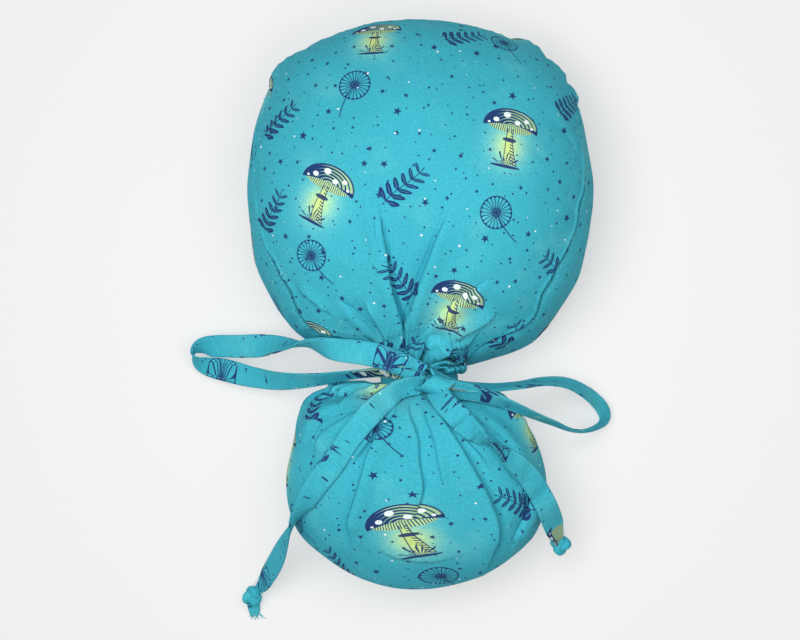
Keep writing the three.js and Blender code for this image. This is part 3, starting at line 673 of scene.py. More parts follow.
def pleat_relief(x, y, pleat):
    """One pleat over places in plan, in millimetres: its height, and how far its edge is pushed over
    the cloth beside it, to the right and to the forehead."""
    route = pleat["route"]
    line_x, line_y = route_line(route, 8 * (len(route) - 1) + 1)
    pieces = len(line_x) - 1
    nearest = np.full(x.shape, 1e9)
    side, along, edge_x, edge_y = np.zeros((4, *x.shape))
    for k in range(pieces):
        dx, dy = line_x[k + 1] - line_x[k], line_y[k + 1] - line_y[k]
        length = math.hypot(dx, dy)
        t = np.clip(((x - line_x[k]) * dx + (y - line_y[k]) * dy) / length**2, 0, 1)
        off_x, off_y = x - line_x[k] - t * dx, y - line_y[k] - t * dy
        far = np.hypot(off_x, off_y)
        closer = far < nearest
        nearest = np.where(closer, far, nearest)
        side = np.where(closer, np.sign(off_x * dy - off_y * dx), side)
        along = np.where(closer, (k + t) / pieces, along)
        edge_x = np.where(closer, dy / length, edge_x)
        edge_y = np.where(closer, -dx / length, edge_y)
    off = nearest * side * pleat["steep"]
    width = pleat["width"]
    start, end = pleat.get("fade", (0.3, 0.12))
    fade = ease(along / start) * (0.35 + 0.65 * ease((1 - along) / end))
    crest = np.where(off < 0, bell(off, width), bell(off, 0.6))
    gap = pleat.get("gap", 0.8)
    valley = bell(off - 0.5 - gap, gap) + 0.5 * bell(off - 3.4, 3.4)
    height = pleat["height"] * fade * (crest - pleat.get("valley", 0.55) * valley)
    push = 0.34 * pleat["height"] * fade * bell(off + 0.3, 1.1) * pleat["steep"]
    return height, push * edge_x, push * edge_y


def undulation(x, y, wavelength, seed, waves=9):
    """A soft irregular swell, between about -1 and 1."""
    chance = np.random.default_rng(seed)
    total = np.zeros(np.broadcast(x, y).shape)
    for _ in range(waves):
        heading = chance.uniform(0, 2 * math.pi)
        length = wavelength * chance.uniform(0.7, 1.5)
        phase = chance.uniform(0, 2 * math.pi)
        total += np.sin((x * math.cos(heading) + y * math.sin(heading)) * 2 * math.pi / length + phase)
    return total / math.sqrt(waves)


def gather_relief(around, share, pleats, seed, reach):
    """Small radiating pleats at the drawn-in end of a panel. around runs from -1 to 1. reach: the least
    and the greatest share of the panel that a pleat runs over."""
    chance = np.random.default_rng(seed)
    places = np.linspace(-1, 1, pleats) + chance.uniform(-0.5, 0.5, pleats) / pleats
    total = np.zeros(np.broadcast(around, share).shape)
    for place in places:
        length = chance.uniform(*reach)
        height = chance.uniform(0.5, 1.0)
        width = chance.uniform(0.35, 0.6) / pleats * 2
        drift = chance.uniform(-0.05, 0.05)
        off = around - place - drift * share / length
        steep = 1 if chance.random() < 0.5 else -1
        crest = np.where(off * steep < 0, bell(off, width), bell(off, width * 0.5))
        total += height * crest * ease((1 - share / length) * 1.3)
    return total


def slot_share(x, y, spread=1.0):
    """1 in the middle of the open slots and 0 away from them."""
    total = np.zeros(x.shape)
    for slot in nape_slots:
        wider = dict(slot, height=1, width=slot["width"] * spread)
        total = np.maximum(total, pleat_relief(x, y, wider)[0])
    return np.clip(total, 0, 1)


def crown_relief(bearing_deg, share, place, disc_x, disc_y):
    """The crown's pleats, gathers and puffs over its smooth form, in metres: their height off it, and how
    far they push it to the right, to the forehead and up."""
    x = place[..., 0] / mm
    y = place[..., 1] / mm
    total = sum(wave["height"] * undulation(x, y, wave["wavelength"], wave["seed"]) for wave in crown_waves)
    push_x, push_y, push_z = np.zeros((3, *x.shape))
    for pleat in crown_pleats + nape_folds:
        height, over_x, over_y = pleat_relief(x, y, pleat)
        total += height
        push_x += over_x
        push_y += over_y
    for swell in nape_swells:
        near = bell(np.hypot(x - swell["x"], y - swell["y"]), swell["size"]) * ease(share / 0.035)
        push_x += swell["right"] * near
        push_y += swell["front"] * near
        push_z += swell["up"] * near
    for slot in nape_slots:
        push_z -= pleat_relief(x, y, slot)[0]
    around = (90 - bearing_deg) / side_reach
    gathers = gather_relief(around, share, nape_gathers, 21, (0.05, 0.26))
    total += nape_gather_height * gathers * (1 - 0.8 * slot_share(x, y, 2.2))
    out = np.hypot(disc_x, disc_y)
    bearing = np.degrees(np.arctan2(disc_y, disc_x))
    from_seam = (1 - out) * crown_half_width / mm * 1.35
    for puff in crown_puffs:
        run = puff_run + puff_run_per_height * puff["height"]
        middle = (puff["start"] + puff["end"]) / 2 + 1.2 * np.sin(from_seam / 6)
        across = (bearing - middle) / ((puff["end"] - puff["start"]) / 2)
        bulge = np.maximum(1 - across**2, 0) ** 0.7
        total += puff["height"] * bulge * (ease(1 - from_seam / run) * (0.75 + 0.25 * ease(from_seam / 5)))
    for corner in front_corners:
        total -= 1.7 * bell(bearing - corner, 20) * ease(1 - from_seam / 16)
    ripple = undulation(bearing * 2.2, from_seam * 0.12, 7, 31)
    total += 0.35 * ripple * ease(1 - from_seam / 14)
    at_edge = ease(from_seam / 3.2)
    rolled_edge = 0.7 * bell(from_seam - 3.2, 2.4) - 0.7 * (1 - ease(from_seam / 1.8))
    return (total * at_edge + rolled_edge) * mm, xyz(push_x, push_y, push_z) * mm


def normals_of(grid, closed_round=False):
    if closed_round:
        across = np.roll(grid, -1, 0) - np.roll(grid, 1, 0)
    else:
        across = np.gradient(grid, axis=0)
    along = np.gradient(grid, axis=1)
    normal = np.cross(across, along)
    length = np.linalg.norm(normal, axis=-1, keepdims=True)
    return normal / np.maximum(length, 1e-12)


def to_frame(points):
    """From the middle of the tie to the frame's own origin."""
    return points + np.array([tie_x, tie_y, 0])


def new_piece(name, points, faces, places=(), finishes=()):
    """A smooth mesh from points, faces, and each face corner's place on the flat cloth."""
    mesh = bpy.data.meshes.new(name)
    mesh.from_pydata(to_frame(points).tolist(), [], faces)
    if places:
        layer = mesh.uv_layers.new(name="cloth")
        layer.data.foreach_set("uv", np.array(places, float).reshape(-1))
    mesh.polygons.foreach_set("use_smooth", [True] * len(mesh.polygons))
    for finish in finishes:
        mesh.materials.append(finish)
    return stand(mesh)


def cloth_piece(name, grid, flat, closed_round=False, tip=False, thickness=cloth_thickness, painted_ditch_shade=None):
    """A wall of cloth from a grid of outer points and their places on the flat cloth, thickened inwards.
    The last argument is the painted shade: 1 deep in a seam or an open slot, where the cloth is painted
    darkest, and 0 where it lies open."""
    rows, columns = grid.shape[:2]
    index = np.arange(rows * columns).reshape(rows, columns)
    if tip:
        index[:, -1] = index[0, -1]
    used, number = np.unique(index, return_inverse=True)
    number = number.reshape(rows, columns)
    faces = []
    places = []
    for i in range(rows if closed_round else rows - 1):
        k = (i + 1) % rows
        for j in range(columns - 1):
            face = [(i, i, j), (k, i + 1, j), (k, i + 1, j + 1), (i, i, j + 1)]
            if tip and j == columns - 2:
                face = [face[0], face[1], face[3]]
            faces.append([int(number[a, c]) for a, _, c in face])
            places.extend(flat[b, c] for _, b, c in face)
    piece = new_piece(name, grid.reshape(-1, 3)[used], faces, places, (printed_twill, twill_reverse))
    # painted shade, stored on the cloth's points for the print's tone
    if painted_ditch_shade is not None:
        layer = piece.data.attributes.new("painted_ditch_shade", "FLOAT", "POINT")
        layer.data.foreach_set("value", painted_ditch_shade.reshape(-1)[used])
    wall = piece.modifiers.new("cloth wall", "SOLIDIFY")
    wall.thickness = thickness
    wall.offset = -1
    wall.use_even_offset = False
    wall.material_offset = 1
    wall.material_offset_rim = 0
    return piece


def print_turn(u, v, degrees):
    """Places on the flat cloth, turned so that the print lies askew."""
    c, s = math.cos(math.radians(degrees)), math.sin(math.radians(degrees))
    return np.stack([u * c - v * s, u * s + v * c], -1)


seam_gap_share = 0.0032
seam_depth = 3.4 * mm
# how far the painted shade reaches from an edge turned into a seam
painted_shade_width = 1.05 * mm
crown_print_turn = 12

# lines are closer together over the big pleats, and divided more finely where the cloth is gathered
crown_spacing = np.linspace(1, -1, crown_lines + 1)
crown_bearings = 90 + side_reach * (crown_spacing - 0.4 * np.sin(np.pi * crown_spacing) / np.pi)
crown_shares = np.linspace(0, 1, crown_steps + 1)
crown_shares = (crown_shares - 0.6 * np.sin(2 * np.pi * crown_shares) / (2 * np.pi)) * (1 - seam_gap_share)
line_grid, share_grid = np.meshgrid(crown_bearings, crown_shares, indexing="ij")
crown_form, crown_disc_x, crown_disc_y = crown_smooth(line_grid, share_grid)
crown_height, crown_push = crown_relief(line_grid, share_grid, crown_form, crown_disc_x, crown_disc_y)
crown_grid = crown_form + normals_of(crown_form) * crown_height[..., None] + crown_push
collar = neck_point(np.radians(casing_slit) * (90 - crown_bearings) / side_reach, 0.4 * mm)
collar_edge = collar + (crown_grid[:, 0] - crown_form[:, 0]) * 0.7
# both edges turn in to one line under the seam, so that nothing shows through it
seam_edge = crown_smooth(crown_bearings, np.ones(len(crown_bearings)))[0]
seam_foot = seam_edge - normals_of(crown_form)[:, -1] * seam_depth
crown_grid = np.concatenate([collar_edge[:, None], crown_grid, seam_foot[:, None]], 1)


def crown_flat():
    """Where each point of the crown lay on the flat cloth, measured outwards over the dome from its top."""
    heading = np.arctan2(crown_disc_y, crown_disc_x)
    drop = np.hypot(crown_disc_x, crown_disc_y) * seam_drop(heading)
    steps = 14
    arc = np.zeros(drop.shape)
    last = wall_point(heading, drop * 0)
    for k in range(1, steps + 1):
        here = wall_point(heading, drop * k / steps)
        arc += np.linalg.norm(here - last, axis=-1)
        last = here
    flat = print_turn(arc * np.cos(heading), arc * np.sin(heading), crown_print_turn)
    return np.concatenate([flat[:, :1], flat, flat[:, -1:] * 1.02], 1)


# Painted shade on the crown: darkest along its edge turned into the seam and in the open slots beside the
# bow.
crown_run = np.linalg.norm(crown_grid[:, 1:] - crown_grid[:, :-1], axis=-1)
crown_run[:, -1] = 0
from_edge = np.zeros(crown_grid.shape[:2])
from_edge[:, :-1] = np.cumsum(crown_run[:, ::-1], 1)[:, ::-1]
slot_painted_shade = slot_share(crown_form[..., 0] / mm, crown_form[..., 1] / mm)
slot_painted_shade = np.concatenate([slot_painted_shade[:, :1], slot_painted_shade, slot_painted_shade[:, -1:]], 1)
crown_painted_shade = np.maximum(bell(from_edge, painted_shade_width), slot_painted_shade)
crown = cloth_piece("crown_cloth", crown_grid, crown_flat(), painted_ditch_shade=crown_painted_shade)
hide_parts("crown")
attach(crown, "root")


# Band. A ring of the same twill round the sides and forehead, sewn to the crown's edge, with a turned
# hem where the cap lies on the table. At the nape its top follows the crown's gathered edge to the neck.
band_thickness = 1.8 * mm
band_steps = 44
under_neck_spread = 3
hem_height = 11 * mm
band_print_place = np.array([0.21, 0.17])


def edge_of_crown(from_nape):
    """The crown's edge, or the underside of the neck, at a bearing in degrees from the nape."""
    side = np.sign(from_nape)
    away = np.abs(from_nape)
    share = np.clip((away - under_neck_spread) / (nape_spread - under_neck_spread), 0, 1)
    corner = np.where(side > 0, -90 + nape_spread, 270 - nape_spread)
    far = away >= nape_spread
    bearing = np.where(far, -90 + from_nape, corner)
    top = crown_smooth(bearing.astype(float), np.where(far, 1.0, share))[0]
    round_neck = 180 - (180 - casing_slit) * away / under_neck_spread
    under = neck_point(np.radians(round_neck) * side, neck_half_length)
    return np.where((away < under_neck_spread)[..., None], under, top)


def band_smooth(from_nape, share):
    bearing = np.radians(-90 + from_nape)
    start = seam_drop(bearing)
    point = wall_point(bearing, start + (180 - start) * share)
    correction = edge_of_crown(from_nape) - wall_point(bearing, start)
    return point + correction * (1 - share)[..., None]


nape_shares = np.linspace(0, 1, 45)[:-1]
nape_places = under_neck_spread + (nape_spread - under_neck_spread) * nape_shares
lines_from_nape = np.where(crown_bearings > 90, crown_bearings - 270, crown_bearings + 90)
band_places = np.concatenate([lines_from_nape, nape_places[::-1], -nape_places])
band_shares = 0.004 + 0.996 * np.linspace(0, 1, band_steps + 1) ** 1.35
place_grid, band_share_grid = np.meshgrid(band_places, band_shares, indexing="ij")
band_form = band_smooth(place_grid, band_share_grid)
band_drop = np.zeros(place_grid.shape)
band_drop[:, 1:] = np.cumsum(np.linalg.norm(np.diff(band_form, axis=1), axis=-1), 1)
from_hem = band_drop[:, -1:] - band_drop
near_nape = bell(np.abs(place_grid) - 34, 24)
hem_step = 0.45 * ease((hem_height - from_hem) / (0.8 * mm) + 0.5)
band_swell = 0.5 * undulation(place_grid * 1.8, band_drop / mm, 34, 41)
nape_swell = 0.8 * near_nape * undulation(place_grid * 1.8, band_drop / mm * 0.25, 9, 43)
band_height = band_swell + nape_swell * ease(1 - band_drop / (30 * mm)) + hem_step
band_height *= ease(band_drop / (3 * mm)) * ease(from_hem / (2 * mm))
band_height -= 0.5 * bell(band_drop, 6 * mm) + 0.7 * (1 - ease(band_drop / (1.8 * mm)))
band_grid = band_form + normals_of(band_form, True) * (band_height * mm)[..., None]
band_turned = band_grid[:, :1] - normals_of(band_grid, True)[:, :1] * seam_depth
band_turned[: len(seam_foot), 0] = seam_foot

rim = band_form[:, -1]
around_rim = distance_along(np.concatenate([rim, rim[:1]]))
band_across = np.repeat(-around_rim[:, None], band_steps + 1, 1)
band_flat = np.stack([band_across, np.concatenate([from_hem, from_hem[:1]], 0)], -1) + band_print_place
band_flat = np.concatenate([band_flat[:, :1] + np.array([0, seam_depth]), band_flat], 1)
band_walls = np.concatenate([band_turned, band_grid], 1)
# painted shade along the band's edge turned into the seam
band_painted_shade = bell(np.concatenate([band_drop[:, :1], band_drop], 1) - band_drop[:, :1], painted_shade_width)
band = cloth_piece("band_cloth", band_walls, band_flat, True, thickness=band_thickness, painted_ditch_shade=band_painted_shade)
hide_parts("band")
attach(band, "root")


# Ponytail pouch. A round bag of the same twill that holds the hair, drawn in where the tie closes on it,
# so that deep folds fan out from the tie. It is filled out and rests on the table.
pouch_length = 121.5 * mm
pouch_half_width = 78.5 * mm
pouch_height = 84 * mm
pouch_squareness = 2.25
pouch_lines = 372
pouch_steps = 126
pouch_gathers = 44
pouch_gather_height = 2.6
pouch_print_turn = -9
pouch_print_place = np.array([0.33, 0.41])

# turn: degrees from the neck to the far end. width, sway: shares of the half width, where sway is to the
# right. top, bottom: shares of the height.
pouch_sections = rows_of(
    "turn width top bottom sway",
    (0, 0.242, 0.595, 0.31, 0),
    (14, 0.56, 0.66, 0.19, -0.075),
    (27, 0.73, 0.76, 0.09, -0.085),
    (43, 0.84, 0.88, 0.02, -0.07),
    (62, 0.925, 0.97, 0, -0.03),
    (84, 0.995, 1, 0, -0.023),
    (104, 0.967, 0.96, 0, -0.02),
    (118, 0.887, 0.89, 0.01, -0.01),
    (132, 0.72, 0.79, 0.05, -0.004),
    (152, 0.455, 0.61, 0.14, -0.004),
    (180, 0, 0.37, 0.37, 0),
)

pouch_pleats = rows_of(
    "width height steep route valley gap fade",
    (7, 4.2, 1, [(-10, -12), (-16, -23), (-24, -34), (-29, -44), (-32, -56), (-36, -69), (-40, -82),
     (-40, -92)], 0.7),
    (5, 2.6, -1, [(-16, -13), (-25, -24), (-31, -36), (-39, -47)]),
    (7, 4.8, 1, [(-18, -9), (-34, -20), (-46, -27), (-55, -34), (-60, -44)], 0.7),
    (5.5, 2.8, -1, [(-7, -9), (-6, -22), (-2, -34), (-1, -48), (1, -63), (-3, -78)]),
    (9, 5.2, -1, [(1, -9), (10, -21), (21, -38), (28, -50), (35, -62), (40, -73), (43, -81),
     (44, -90), (41, -106)], 0.75),
    (7, 3.0, 1, [(70, -64), (66, -77), (57, -95)]),
    (4, 2.8, -1, [(-22, -5), (-35, -6), (-47, -8), (-56, -7)]),
    (6, 3.2, 1, [(8, -8), (26, -18), (44, -30), (56, -44), (62, -56)]),
    (5, 2.6, -1, [(14, -6), (36, -12), (54, -20), (64, -30)]),
    (5.5, 2.8, -1, [(-22, -9), (-42, -16), (-58, -22), (-68, -36)]),
    (4, 2.0, 1, [(-2, -9), (4, -22), (9, -36), (12, -50), (14, -60)]),
    (4, 2.0, -1, [(5, -9), (15, -22), (27, -36), (38, -48)]),
    (4, 2.0, 1, [(-13, -9), (-24, -19), (-38, -30), (-48, -42)]),
    (7, 1.2, 1, [(-30, -96), (-14, -104), (6, -107), (24, -103)], 0.3, 0.8, (0.4, 0.4)),
)


def pouch_smooth(angle_deg, turn):
    """The pouch before its folds. angle_deg: degrees round it, from 0 on top to the right."""
    half_width = curve(pouch_sections, "turn", turn, "width") * pouch_half_width
    top = curve(pouch_sections, "turn", turn, "top") * pouch_height
    bottom = np.maximum(curve(pouch_sections, "turn", turn, "bottom"), 0) * pouch_height
    sway = curve(pouch_sections, "turn", turn, "sway") * pouch_half_width
    past_neck = ease(turn / 40)
    middle = bottom + (top - bottom) * (0.5 - 0.06 * past_neck)
    angle = np.radians(angle_deg)
    power = 2 / (2 + (pouch_squareness - 2) * past_neck)
    half = np.where(np.cos(angle) > 0, top - middle, middle - bottom)
    return xyz(
        flattened(np.sin(angle), power) * half_width + sway,
        -neck_half_length - pouch_length * (1 - np.cos(np.radians(turn))) / 2,
        middle + flattened(np.cos(angle), power) * half,
    )


# lines are closer together on top, where the folds show
pouch_spacing = math.pi * (1 - 2 * np.arange(pouch_lines) / pouch_lines)
pouch_angles = np.degrees(pouch_spacing - 0.55 * np.sin(pouch_spacing))
pouch_turns = 180 * (np.linspace(0, 1, pouch_steps + 1) ** 1.05)
angle_grid, turn_grid = np.meshgrid(pouch_angles, pouch_turns, indexing="ij")
pouch_form = pouch_smooth(angle_grid, turn_grid)
pouch_x = pouch_form[..., 0] / mm
pouch_y = pouch_form[..., 1] / mm
looks_up = ease((np.cos(np.radians(angle_grid)) + 0.15) / 0.3)
pouch_relief = 0.5 * undulation(pouch_x, pouch_y + pouch_form[..., 2] / mm, 60, 51)
pouch_push = np.zeros(pouch_form.shape)
for pleat in pouch_pleats:
    height, over_x, over_y = pleat_relief(pouch_x, pouch_y, pleat)
    pouch_relief += height * looks_up
    pouch_push += xyz(over_x * looks_up, over_y * looks_up, 0) * mm
gathers = gather_relief(angle_grid / 180, turn_grid / 180, pouch_gathers, 61, (0.1, 0.36))
pouch_relief += pouch_gather_height * gathers
rests = ease(1 - pouch_form[..., 2] / (6 * mm))
pouch_relief = pouch_relief * ease((180 - turn_grid) / 12) * ease(turn_grid / 6) * (1 - 0.9 * rests)
pouch_grid = pouch_form + normals_of(pouch_form, True) * (pouch_relief * mm)[..., None] + pouch_push
pouch_grid[..., 2] = np.maximum(pouch_grid[..., 2], 0.1 * mm)
pouch_collar = pouch_grid[:, :1].copy()
pouch_collar[:, 0, 1] = -0.4 * mm
pouch_grid = np.concatenate([pouch_collar, pouch_grid], 1)
pouch_grid[:, -1] = pouch_form[0, -1]

round_step = np.linalg.norm(np.roll(pouch_form, -1, 0) - pouch_form, axis=-1)
girth = round_step.sum(0)
widest_girth = girth.max()
cut_girth = girth + (np.sqrt(girth * widest_girth) - girth) * ease(1 - pouch_turns / 70)
top_line = pouch_form[pouch_lines // 2]
down_top = distance_along(top_line)
round_share = np.append(pouch_angles, -180) / 360
pouch_across = round_share[:, None] * cut_girth[None, :]
pouch_down = np.repeat(down_top[None, :], pouch_lines + 1, 0)
pouch_flat = print_turn(pouch_across, -pouch_down, pouch_print_turn)
pouch_flat = np.concatenate([pouch_flat[:, :1], pouch_flat], 1) + pouch_print_place
pouch = cloth_piece("pouch_cloth", pouch_grid, pouch_flat, closed_round=True, tip=True)
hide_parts("pouch")
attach(pouch, "root")


# Ties. One long strap of twill, folded in four and topstitched down both edges, comes out of the nape
# casing, turns round the neck and is tied in a bow with two loops and two knotted ends.
strap_width = 14 * mm
strap_thickness = 1.5 * mm
strap_clearance = 0.7 * mm
drape_slope = 1.1
strap_steps = 168
straight_up = np.array([0, 0, 1.0])

# x, y: middle of the strap seen from above, in shares of the crown's half width. height: share of the
# neck's height, where nothing carries the strap higher. lean: degrees that its width is turned up.
strap_routes = {
    "loop_left": rows_of(
        "x y height lean",
        (0.02, 0.02, 1.66, -168),
        (-0.1, 0.085, 1.6, -176),
        (-0.26, 0.14, 1.55, -180),
        (-0.45, 0.165, 1.4, -172),
        (-0.6, 0.185, 1.15, -125),
        (-0.7, 0.187, 0.95, -80),
        (-0.84, 0.188, 0.72, -35),
        (-1.02, 0.182, 0.5, 4),
        (-1.17, 0.182, 0.38, 14),
        (-1.27, 0.176, 0.3, 48),
        (-1.315, 0.135, 0.28, 88),
        (-1.27, 0.075, 0.28, 132),
        (-1.12, 0.04, 0.32, 166),
        (-0.98, 0.005, 0.4, 156),
        (-0.82, -0.016, 0.55, 142),
        (-0.64, -0.01, 0.76, 128),
        (-0.44, 0.016, 1.0, 114),
        (-0.26, 0.036, 1.2, 112),
        (-0.1, 0.035, 1.34, 128),
        (0.02, -0.01, 1.4, 150),
    ),
    "loop_right": rows_of(
        "x y height lean",
        (0.08, 0.02, 1.4, 60),
        (0.2, -0.03, 1.36, 66),
        (0.38, -0.045, 1.2, 72),
        (0.55, -0.038, 0.98, 74),
        (0.72, -0.02, 0.72, 72),
        (0.86, -0.035, 0.5, 64),
        (0.98, -0.095, 0.34, 58),
        (1.07, -0.18, 0.28, 54),
        (1.08, -0.255, 0.26, 62),
        (0.99, -0.3, 0.26, 78),
        (0.88, -0.3, 0.3, 84),
        (0.75, -0.25, 0.5, 76),
        (0.62, -0.195, 0.86, 70),
        (0.47, -0.13, 1.2, 62),
        (0.34, -0.085, 1.5, 48),
        (0.22, -0.062, 1.6, 40),
        (0.1, -0.05, 1.62, 30),
    ),
    "tail_left": rows_of(
        "x y height lean",
        (0.02, -0.03, 1.36, 40),
        (-0.09, -0.05, 1.3, 34),
        (-0.19, -0.11, 1.2, 20),
        (-0.29, -0.205, 0.2, 6),
        (-0.39, -0.325, 0.2, 0),
        (-0.48, -0.46, 0.2, 0),
        (-0.58, -0.59, 0.2, 14),
        (-0.65, -0.71, 0.2, 40),
        (-0.71, -0.82, 0.2, 84),
        (-0.775, -0.955, 0.2, 122),
        (-0.83, -1.065, 0.22, 136),
        (-0.905, -1.19, 0.2, 132),
        (-0.975, -1.284, 0.16, 116),
    ),
    "tail_right": rows_of(
        "x y height lean",
        (0.08, -0.05, 1.32, -20),
        (0.15, -0.14, 1.2, -14),
        (0.215, -0.205, 0.2, -8),
        (0.28, -0.27, 0.2, -26),
        (0.345, -0.325, 0.2, -56),
        (0.41, -0.372, 0.2, -92),
        (0.475, -0.42, 0.2, -128),
        (0.55, -0.48, 0.2, -150),
        (0.625, -0.56, 0.2, -156),
        (0.685, -0.655, 0.2, -160),
        (0.735, -0.755, 0.2, -160),
        (0.775, -0.85, 0.2, -152),
        (0.816, -0.962, 0.16, -140),
    ),
}


def surface_of(*pieces):
    """The cloth under the straps, for finding how high they are carried."""
    points = []
    faces = []
    for piece in pieces:
        first = len(points)
        points += [vertex.co.copy() for vertex in piece.data.vertices]
        faces += [[first + v for v in face.vertices] for face in piece.data.polygons]
    return BVHTree.FromPolygons(points, faces)


def plumb(surface, x, y):
    """Where a plumb line over a place in plan first meets a surface, or None."""
    return surface.ray_cast(Vector((x + tie_x, y + tie_y, 1.0)), Vector((0, 0, -1)))[0]


cloth_below = surface_of(crown, band, pouch)


def carried_height(x, y):
    hit = plumb(cloth_below, x, y)
    return hit.z + strap_clearance if hit else 0.0


def strap_frames(route):
    """Middles of a strap along its route, with the directions of its run, its width and its thickness."""
    rows = [dict(row, at=k) for k, row in enumerate(route)]
    at = np.linspace(0, len(rows) - 1, strap_steps + 1)
    x, y, height, lean = (curve(rows, "at", at, name) for name in ("x", "y", "height", "lean"))
    middle = xyz(x * crown_half_width, y * crown_half_width, height * neck_height)
    lean = np.radians(lean)
    level = unit(np.gradient(middle, axis=0)[:, [1, 0, 2]] * np.array([1, -1, 0]))
    lowest = np.zeros(len(at))
    for side in (-1, -0.6, -0.2, 0.2, 0.6, 1):
        out = side * strap_width / 2
        half = strap_thickness / 2 * np.abs(np.cos(lean))
        for margin in (-1.5 * mm, 0, 1.5 * mm):
            place = middle + level * (out * np.cos(lean) + margin)[:, None]
            below = np.array([carried_height(x, y) for x, y, _ in place])
            lowest = np.maximum(lowest, below - out * np.sin(lean) + half)
    # where it crosses an edge the strap slopes down to the table
    apart = np.linalg.norm(middle[:, None, :2] - middle[None, :, :2], axis=-1)
    middle[:, 2] = np.maximum(middle[:, 2], (lowest[None, :] - drape_slope * apart).max(1))
    for _ in range(6):
        middle[1:-1, 2] = (middle[:-2, 2] + 2 * middle[1:-1, 2] + middle[2:, 2]) / 4
    along = unit(np.gradient(middle, axis=0))
    level = unit(np.cross(along, straight_up))
    rise = np.cross(level, along)
    wide = level * np.cos(lean)[:, None] + rise * np.sin(lean)[:, None]
    return middle, along, wide, np.cross(along, wide)


def loop_mesh(name, grid, flat, close_ends=False, wrap_rows=False, end_place=None):
    """A mesh from rings of points. Each ring is closed, and the rings close on each other or are capped.
    With an end_place, both caps have the one tone that the print has there."""
    rows, sides = grid.shape[:2]
    faces = []
    places = []
    for i in range(rows if wrap_rows else rows - 1):
        n = (i + 1) % rows
        for k in range(sides):
            m = (k + 1) % sides
            faces.append([i * sides + k, i * sides + m, n * sides + m, n * sides + k])
            places += [flat(i, k), flat(i, k + 1), flat(i + 1, k + 1), flat(i + 1, k)]
    if close_ends:
        faces.append(list(range(sides))[::-1])
        faces.append([(rows - 1) * sides + k for k in range(sides)])
        places += [end_place or flat(0, k) for k in range(sides)][::-1]
        places += [end_place or flat(rows - 1, k) for k in range(sides)]
    return new_piece(name, grid.reshape(-1, 3), faces, places, (printed_twill,))


def strap_section(sides, hollow):
    """Places round a folded strap with rounded edges, hollow between its two rows of stitches: out across
    its width and up through its thickness, both from -1 to 1."""
    angle = 2 * math.pi * (np.arange(sides) + 0.5) / sides
    out = flattened(np.cos(angle), 0.32)
    up = flattened(np.sin(angle), 0.6) * (1 - hollow * bell(np.abs(out) - 0.62, 0.1))
    return out, up


# where on the print each strap begins, in metres
strap_print_shift = {
    "loop_left_strap": 0.195,
    "loop_right_strap": 0.208,
    "tail_left_strap": 0.195,
    "tail_right_strap": 0.16,
}
strap_sides = 20


def strap_piece(name, frames):
    middle, along, wide, thick = frames
    out, up = strap_section(strap_sides, 0.28)
    run = distance_along(middle)
    waver = 0.35 * mm * undulation(run / mm, run * 0, 22, len(name))
    half_wide = strap_width / 2 * (1 + 0.025 * undulation(run / mm, run * 0, 40, 7))
    if name.startswith("tail"):
        half_wide = half_wide * (1 - 0.55 * ease(1 - (run[-1] - run) / (20 * mm)))
    off_middle = up * strap_thickness / 2 + waver[:, None] * (1 - out**2)
    grid = middle[:, None] + wide[:, None] * (out * half_wide[:, None])[..., None]
    grid = grid + thick[:, None] * off_middle[..., None]
    start = strap_print_shift[name]
    return loop_mesh(
        name,
        grid,
        lambda i, k: (run[i] + start, k / strap_sides * 2 * strap_width + 0.098),
        close_ends=True,
        end_place=(0, 0),
    )


strap_lines = {}
for node, route in strap_routes.items():
    strap_lines[node] = strap_frames(route)
    strap = strap_piece(node + "_strap", strap_lines[node])
    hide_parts(node)
    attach(strap, "root")


# Cinch. The same tie where it runs round the neck under the bow, bunched up into a cord of creased cloth.
cinch_width = 7.5 * mm
cinch_gap = 1.5 * mm
cinch_bulk = 2.6 * mm
cinch_sides = 110
cinch_around = 26


def cinch_mesh():
    angle = np.linspace(0, 2 * math.pi, cinch_sides, endpoint=False)[:, None]
    around = np.linspace(0, 2 * math.pi, cinch_around, endpoint=False)[None, :]
    crease = 1 + 0.16 * np.sin(around * 3 + 4 * angle + 1.5 * np.sin(2 * angle))
    crease = crease + 0.06 * np.sin(around * 5 - 7 * angle)
    out = cinch_gap + cinch_bulk / 2 * (1 + flattened(np.cos(around), 0.7) * crease)
    y = 0.8 * mm * np.sin(angle * 2 + 0.6) + cinch_width / 2 * flattened(np.sin(around), 0.8) * crease
    height = neck_height + (neck_half_height + out) * np.cos(angle)
    return xyz((neck_half_width + out) * np.sin(angle), y, height)


cinch = loop_mesh(
    "cinch_wrap",
    cinch_mesh(),
    lambda i, k: (0.02 + i / cinch_sides * 0.1, 0.3 + k / cinch_around * 0.02),
    wrap_rows=True,
)
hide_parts("cinch")
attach(cinch, "root")


# Bow knot. The strap that wraps over the middle of the bow, wound slantwise round the lump of tie that it is
# pulled tight on. The loops and ends come out from under its two edges.
knot_middle = np.array([10.4, -3.4, 0]) * mm
knot_low = 57 * mm
knot_top = 76 * mm
wrap_slant = math.radians(60)
wrap_half_width = 6.5 * mm
wrap_half_depth = 5.6 * mm
wrap_steps = 80
wrap_sides = 24
core_steps = 40
core_sides = 40
core_half_length = 9.5 * mm
core_half_width = 4.6 * mm
core_half_height = 5.0 * mm
core_drop = 1.6 * mm


def headed(degrees):
    """The level directions ahead and to the left, for a heading in degrees round from the right."""
    c, s = math.cos(math.radians(degrees)), math.sin(math.radians(degrees))
    return np.array([c, s, 0]), np.array([-s, c, 0])


lump_ahead, lump_left = headed(-15)


def in_knot(ahead, left, height):
    """Points from distances along the lump and to its left, and heights over the table."""
    level = lump_ahead * ahead[..., None] + lump_left * left[..., None]
    return knot_middle + level + straight_up * height[..., None]


